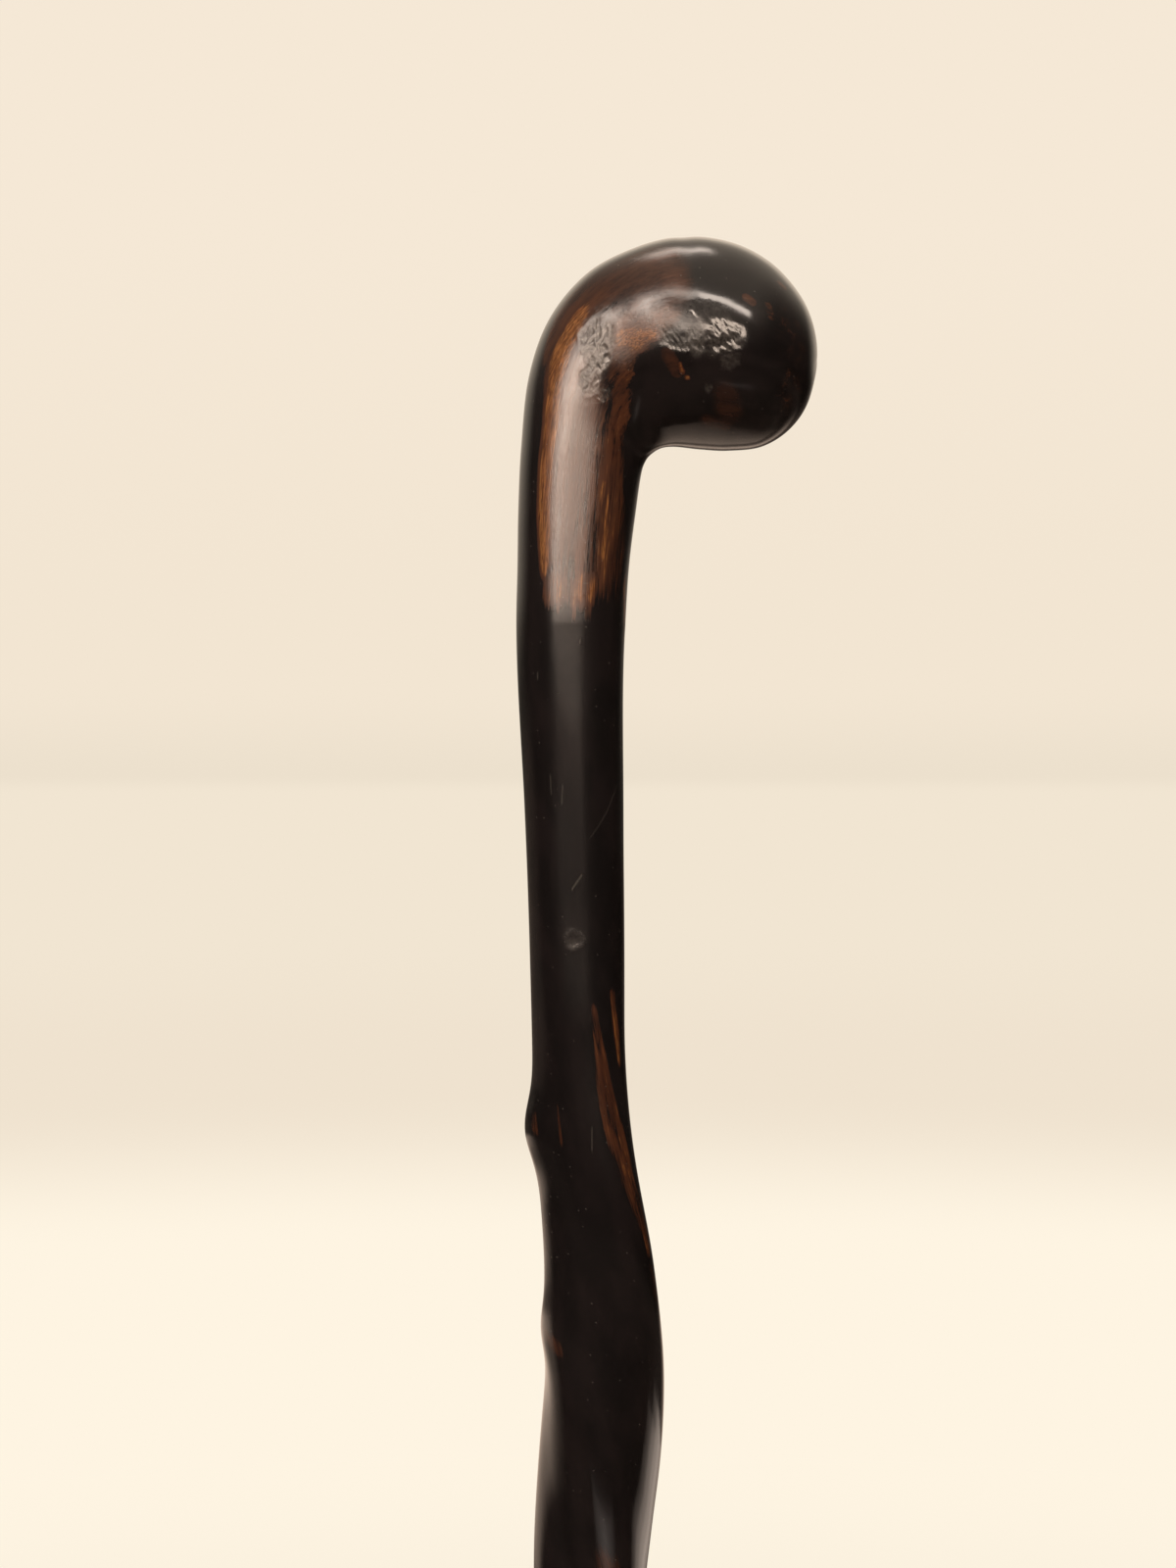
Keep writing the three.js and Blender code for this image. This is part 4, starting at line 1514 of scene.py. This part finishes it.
@dataclass
class Studio:
    """The pale room: a cream wall and floor, a framed window in front and a strip behind.

    Its sizes are metres. The slopes of the line of sight are up divided by out, so the floor's
    are below 0.
    """

    wall_high: str = "f5e8d6"
    wall_middle: str = "f2e5d2"
    wall_foot: str = "ece0cd"
    floor_far: str = "f1e5d2"
    floor_middle: str = "efe2cf"
    floor_near: str = "fef4e2"
    floor_glow: str = "f4d8c2"
    wall_glow: str = "f4e2cc"
    ambient: str = "fff4e6"
    floor_radius: float = 30.0
    floor_drop: float = 0.0003
    aim_x: float = 0.01
    lamps: tuple[Lamp, ...] = (
        Lamp("top_of_window", (-20, 41), (36, 28), 7, 15.5),
        Lamp("faint_top_of_window", (-48, 36), (-20, 42), 8, 8),
        Lamp("side_of_window", (-49, 19), (-49, 35), 7, 15),
        Lamp("corner_of_window", (-47, 15), (-30, 9), 7, 32, "ffead8"),
        Lamp("foot_of_window", (-34, 8), (22, 8), 10, 16, "ffe8d4"),
        Lamp("back_strip", (-125, 66), (160, 69.5), 7, 9),
        Lamp("right_card_a", (94, -21.5), (132, -21.5), 14, 1.15, "ffe9d8", True, 0.5, 0.56, 40),
        Lamp("right_card_b", (108, -20.0), (148, -20.0), 17, 1.15, "ffe9d8", True, 0.5, 0.56, 42),
        Lamp("right_card_c", (122, -20.0), (166, -20.0), 17, 1.15, "ffe9d8", True, 0.5, 0.56, 42),
        Lamp("low_glint", (-18, -24.5), (42, -23.5), 6, 1.25, "fff0e6", True, 0.5, 0.585, 60),
        Lamp("soft_daylight", (-41, 28), (4, 28), 40, 4.0, "fff4ea", False),
    )

    def build(self) -> None:
        """Builds camera, world, floor and lamps."""
        self._camera()
        self._world()
        self._floor()
        self._lamps()

    @staticmethod
    def _camera() -> None:
        """Sets the level camera, 0.6 m in front of the cane's upper part."""
        data = bpy.data.cameras.new("view")
        data.lens = PHOTO.lens
        data.sensor_width = PHOTO.sensor
        data.clip_start = 0.01
        data.clip_end = 400
        camera = bpy.data.objects.new("view", data)
        camera.location = (PHOTO.x * MM, -PHOTO.distance * MM, PHOTO.height * MM)
        camera.rotation_euler = (math.pi / 2, 0, 0)
        bpy.context.scene.collection.objects.link(camera)
        bpy.context.scene.camera = camera

    def _cream(self, tree: Tree, slope: Formula) -> Socket:
        """The cream of wall and floor, by the slope of the line of sight.

        Args:
            tree: The node tree.
            slope: Up divided by out.

        Returns:
            The colour.
        """
        slope = reckon(tree, slope)
        stops = (
            (-0.185, -0.125, self.floor_middle),
            (-0.11, -0.06, self.floor_far),
            (-0.004, 0.004, self.wall_foot),
            (0.0, 0.04, self.wall_middle),
            (0.06, 0.25, self.wall_high),
        )
        layers = [(("SMOOTHSTEP", slope, low, high), colour) for low, high, colour in stops]
        return layered(tree, self.floor_near, *layers)

    @staticmethod
    def _seen(tree: Tree) -> tuple[Formula, Socket]:
        """Whether a ray is one that shows the background, and whether it is a reflection.

        Args:
            tree: The node tree.

        Returns:
            1 or 0 for each.
        """
        glossy = add_node(tree, "LightPath", out="Is Glossy Ray")
        tests = glossy.node.outputs
        straight = ("ADD", tests["Is Camera Ray"], tests["Is Transmission Ray"])
        return ("MINIMUM", ("ADD", straight, glossy), 1.0), glossy

    @staticmethod
    def _wall_light(x: Socket, y: Socket, z: Socket) -> Formula:
        """How bright walls and ceiling are in a reflection: bright behind, dim in front.

        Args:
            x: How far the ray goes to the right.
            y: How far it goes back.
            z: How far it rises.

        Returns:
            The share of the cream that a reflection sees.
        """
        slant = ("MULTIPLY_ADD", x, -0.2, y)
        behind = ("SMOOTHSTEP", slant, 0.35, 0.86, 0.0, 1.1)
        higher = ("MINIMUM", ("MULTIPLY_ADD", z, 2.0, 0.4), 1.45)
        lifted = ("MULTIPLY", higher, ("SMOOTHSTEP", z, 0.0, 0.13, 0.2, 1.0))
        right = ("SMOOTHSTEP", x, 0.5, 0.9, 1.0, 0.2)
        left = ("SMOOTHSTEP", x, -0.75, -0.25, 0.45, 1.0)
        ceiling = ("MULTIPLY", ("SMOOTHSTEP", z, 0.1, 0.62, 0.07, 0.85), ("MULTIPLY", right, left))
        return ("MAXIMUM", ("MULTIPLY", behind, lifted), ceiling)

    @staticmethod
    def _floor_light(x: Socket, y: Socket, out: Socket) -> Formula:
        """How bright the floor is in a reflection: sunlit behind and at the left, dark in front.

        Args:
            x: Distance to the right, in metres.
            y: Distance behind the cane, in metres.
            out: Distance from the cane's foot, in metres.

        Returns:
            The share of the cream that a reflection sees.
        """
        turned = ("DIVIDE", ("MULTIPLY_ADD", x, -0.43, y), ("ADD", out, 0.12))
        behind = ("SMOOTHSTEP", turned, 0.38, 0.98, 0.06, 1.15)
        facing = ("SMOOTHSTEP", ("DIVIDE", y, out), -0.1, 0.45)
        beside = ("MULTIPLY", facing, ("SMOOTHSTEP", x, -1.7, -1.2, 1.3, 0.0))
        close = ("SMOOTHSTEP", out, 1.2, 1.55, 1.0, 0.2)
        further = ("SMOOTHSTEP", out, 1.6, 2.45, 0.2, 1.15)
        fading = ("SMOOTHSTEP", out, 3.0, 3.7, 1.0, 0.1)
        ring = ("MULTIPLY", ("MAXIMUM", close, further), fading)
        broad = ("MULTIPLY", ("MAXIMUM", behind, beside), ring)
        return ("MULTIPLY", broad, ("DIVIDE", out, ("ADD", out, 0.2)))

    @staticmethod
    def _parts(tree: Tree, place: Socket) -> tuple[Socket, ...]:
        """A place's x, y and z, and its distance out from the vertical axis.

        Args:
            tree: The node tree.
            place: The place.

        Returns:
            The four values.
        """
        x, y, z = add_node(tree, "SeparateXYZ", (place,)).node.outputs
        squares = ("MULTIPLY_ADD", x, x, ("MULTIPLY", y, y))
        return x, y, z, reckon(tree, ("SQRT", squares))

    def _world(self) -> None:
        """Cream world: seen plainly, and dim in front for reflections."""
        world = bpy.data.worlds.new("room")
        world.use_nodes = True
        bpy.context.scene.world = world
        tree = world.node_tree
        tree.nodes.clear()
        x, y, z, out = self._parts(tree, add_node(tree, "TexCoord", out="Generated"))
        cream = self._cream(tree, ("DIVIDE", z, ("MAXIMUM", out, 0.001)))
        seen, glossy = self._seen(tree)
        dimmed = ("SUBTRACT", self._wall_light(x, y, z), 1.0)
        light = reckon(tree, ("MULTIPLY_ADD", glossy, dimmed, 1.0))
        glow = layered(tree, cream, (glossy, self.wall_glow))
        shown = add_node(tree, "Background", {"Color": glow, "Strength": light})
        ambient = add_node(tree, "Background", {"Color": self.ambient, "Strength": 0.35})
        both = add_node(tree, "MixShader", (reckon(tree, seen), ambient, shown))
        add_node(tree, "OutputWorld", {"Surface": both})

    def _floor(self) -> None:
        """A pale floor under the cane, which keeps its shadow."""
        material, tree = new_material("pale_floor")
        x, y, _, out = self._parts(tree, add_node(tree, "NewGeometry", out="Position"))
        away = ("ADD", out, PHOTO.distance * MM)
        cream = self._cream(tree, ("DIVIDE", -PHOTO.height * MM, away))
        seen, glossy = self._seen(tree)
        dimmed = ("SUBTRACT", self._floor_light(x, y, out), 1.0)
        light = reckon(tree, ("MULTIPLY_ADD", glossy, dimmed, 1.0))
        glow = layered(tree, cream, (glossy, self.floor_glow))
        shown = add_node(tree, "Emission", {"Color": glow, "Strength": light})
        paint = add_node(tree, "BsdfDiffuse", {"Color": cream})
        lit = ("SMOOTHSTEP", out, 0.3, 2.2, 0.55, 1.0)
        share = reckon(tree, ("MULTIPLY", seen, ("MAXIMUM", lit, glossy)))
        both = add_node(tree, "MixShader", (share, paint, shown))
        add_node(tree, "OutputMaterial", {"Surface": both})
        turns = np.linspace(0, 2 * math.pi, 96, endpoint=False)
        reach, drop = self.floor_radius / MM, self.floor_drop / MM
        points = np.stack([reach * np.cos(turns), reach * np.sin(turns), 0 * turns - drop], axis=1)
        floor = mesh_object("floor", points, [list(range(len(points)))], material)

    def _lamps(self) -> None:
        """Hangs the lamps round the cane, each facing it at its own height."""
        for lamp in self.lamps:
            faced = Vector((self.aim_x, 0, lamp.height))
            ends = [self._direction(*end) for end in (lamp.start, lamp.end)]
            out = (ends[0] + ends[1]).normalized()
            reach = lamp.distance / out.dot(ends[0])
            along = (ends[1] - ends[0]).normalized()
            data = bpy.data.lights.new(lamp.name, "AREA")
            data.shape = "RECTANGLE"
            data.size = reach * (ends[1] - ends[0]).length
            data.size_y = 2 * lamp.distance * math.tan(math.radians(lamp.breadth) / 2)
            data.energy = lamp.radiance * math.pi * data.size * data.size_y
            if lamp.beam < 180:
                data.spread = math.radians(lamp.beam)
                cone = math.tan(data.spread / 2)
                data.energy *= (cone - data.spread / 2) / cone
            data.color = linear(lamp.colour)[:3]
            hung = bpy.data.objects.new(lamp.name, data)
            hung.rotation_euler = Matrix((along, out.cross(along), out)).transposed().to_euler()
            hung.location = faced + lamp.distance * out
            hung.visible_camera = False
            hung.visible_diffuse = not lamp.mirrored
            hung.visible_glossy = lamp.mirrored
            bpy.context.scene.collection.objects.link(hung)

    @staticmethod
    def _direction(bearing: float, rise: float) -> Vector:
        """The direction at a bearing from the front and a rise above level, in degrees.

        Args:
            bearing: The angle from the front.
            rise: The angle above level.

        Returns:
            A unit vector.
        """
        turn, tilt = math.radians(bearing), math.radians(rise)
        level = math.cos(tilt)
        return Vector((math.sin(turn) * level, -math.cos(turn) * level, math.sin(tilt)))


def main() -> None:
    """Builds the studio and the cane, piece by piece."""
    logging.basicConfig(level=logging.INFO, format="%(name)s: %(message)s")
    bpy.context.scene.view_settings.view_transform = "Standard"
    Studio().build()
    LOG.info("camera, floor and lamps are in place")
    stick = LacqueredStick().build(StainedWood().make())
    LOG.info("%s: %d faces", stick.name, len(stick.data.polygons))
    for piece in Ferrule().build(DrawnBrass().make(), ScuffedSteel().make()):
        LOG.info("%s: %d faces", piece.name, len(piece.data.polygons))


if __name__ == "__main__":
    main()
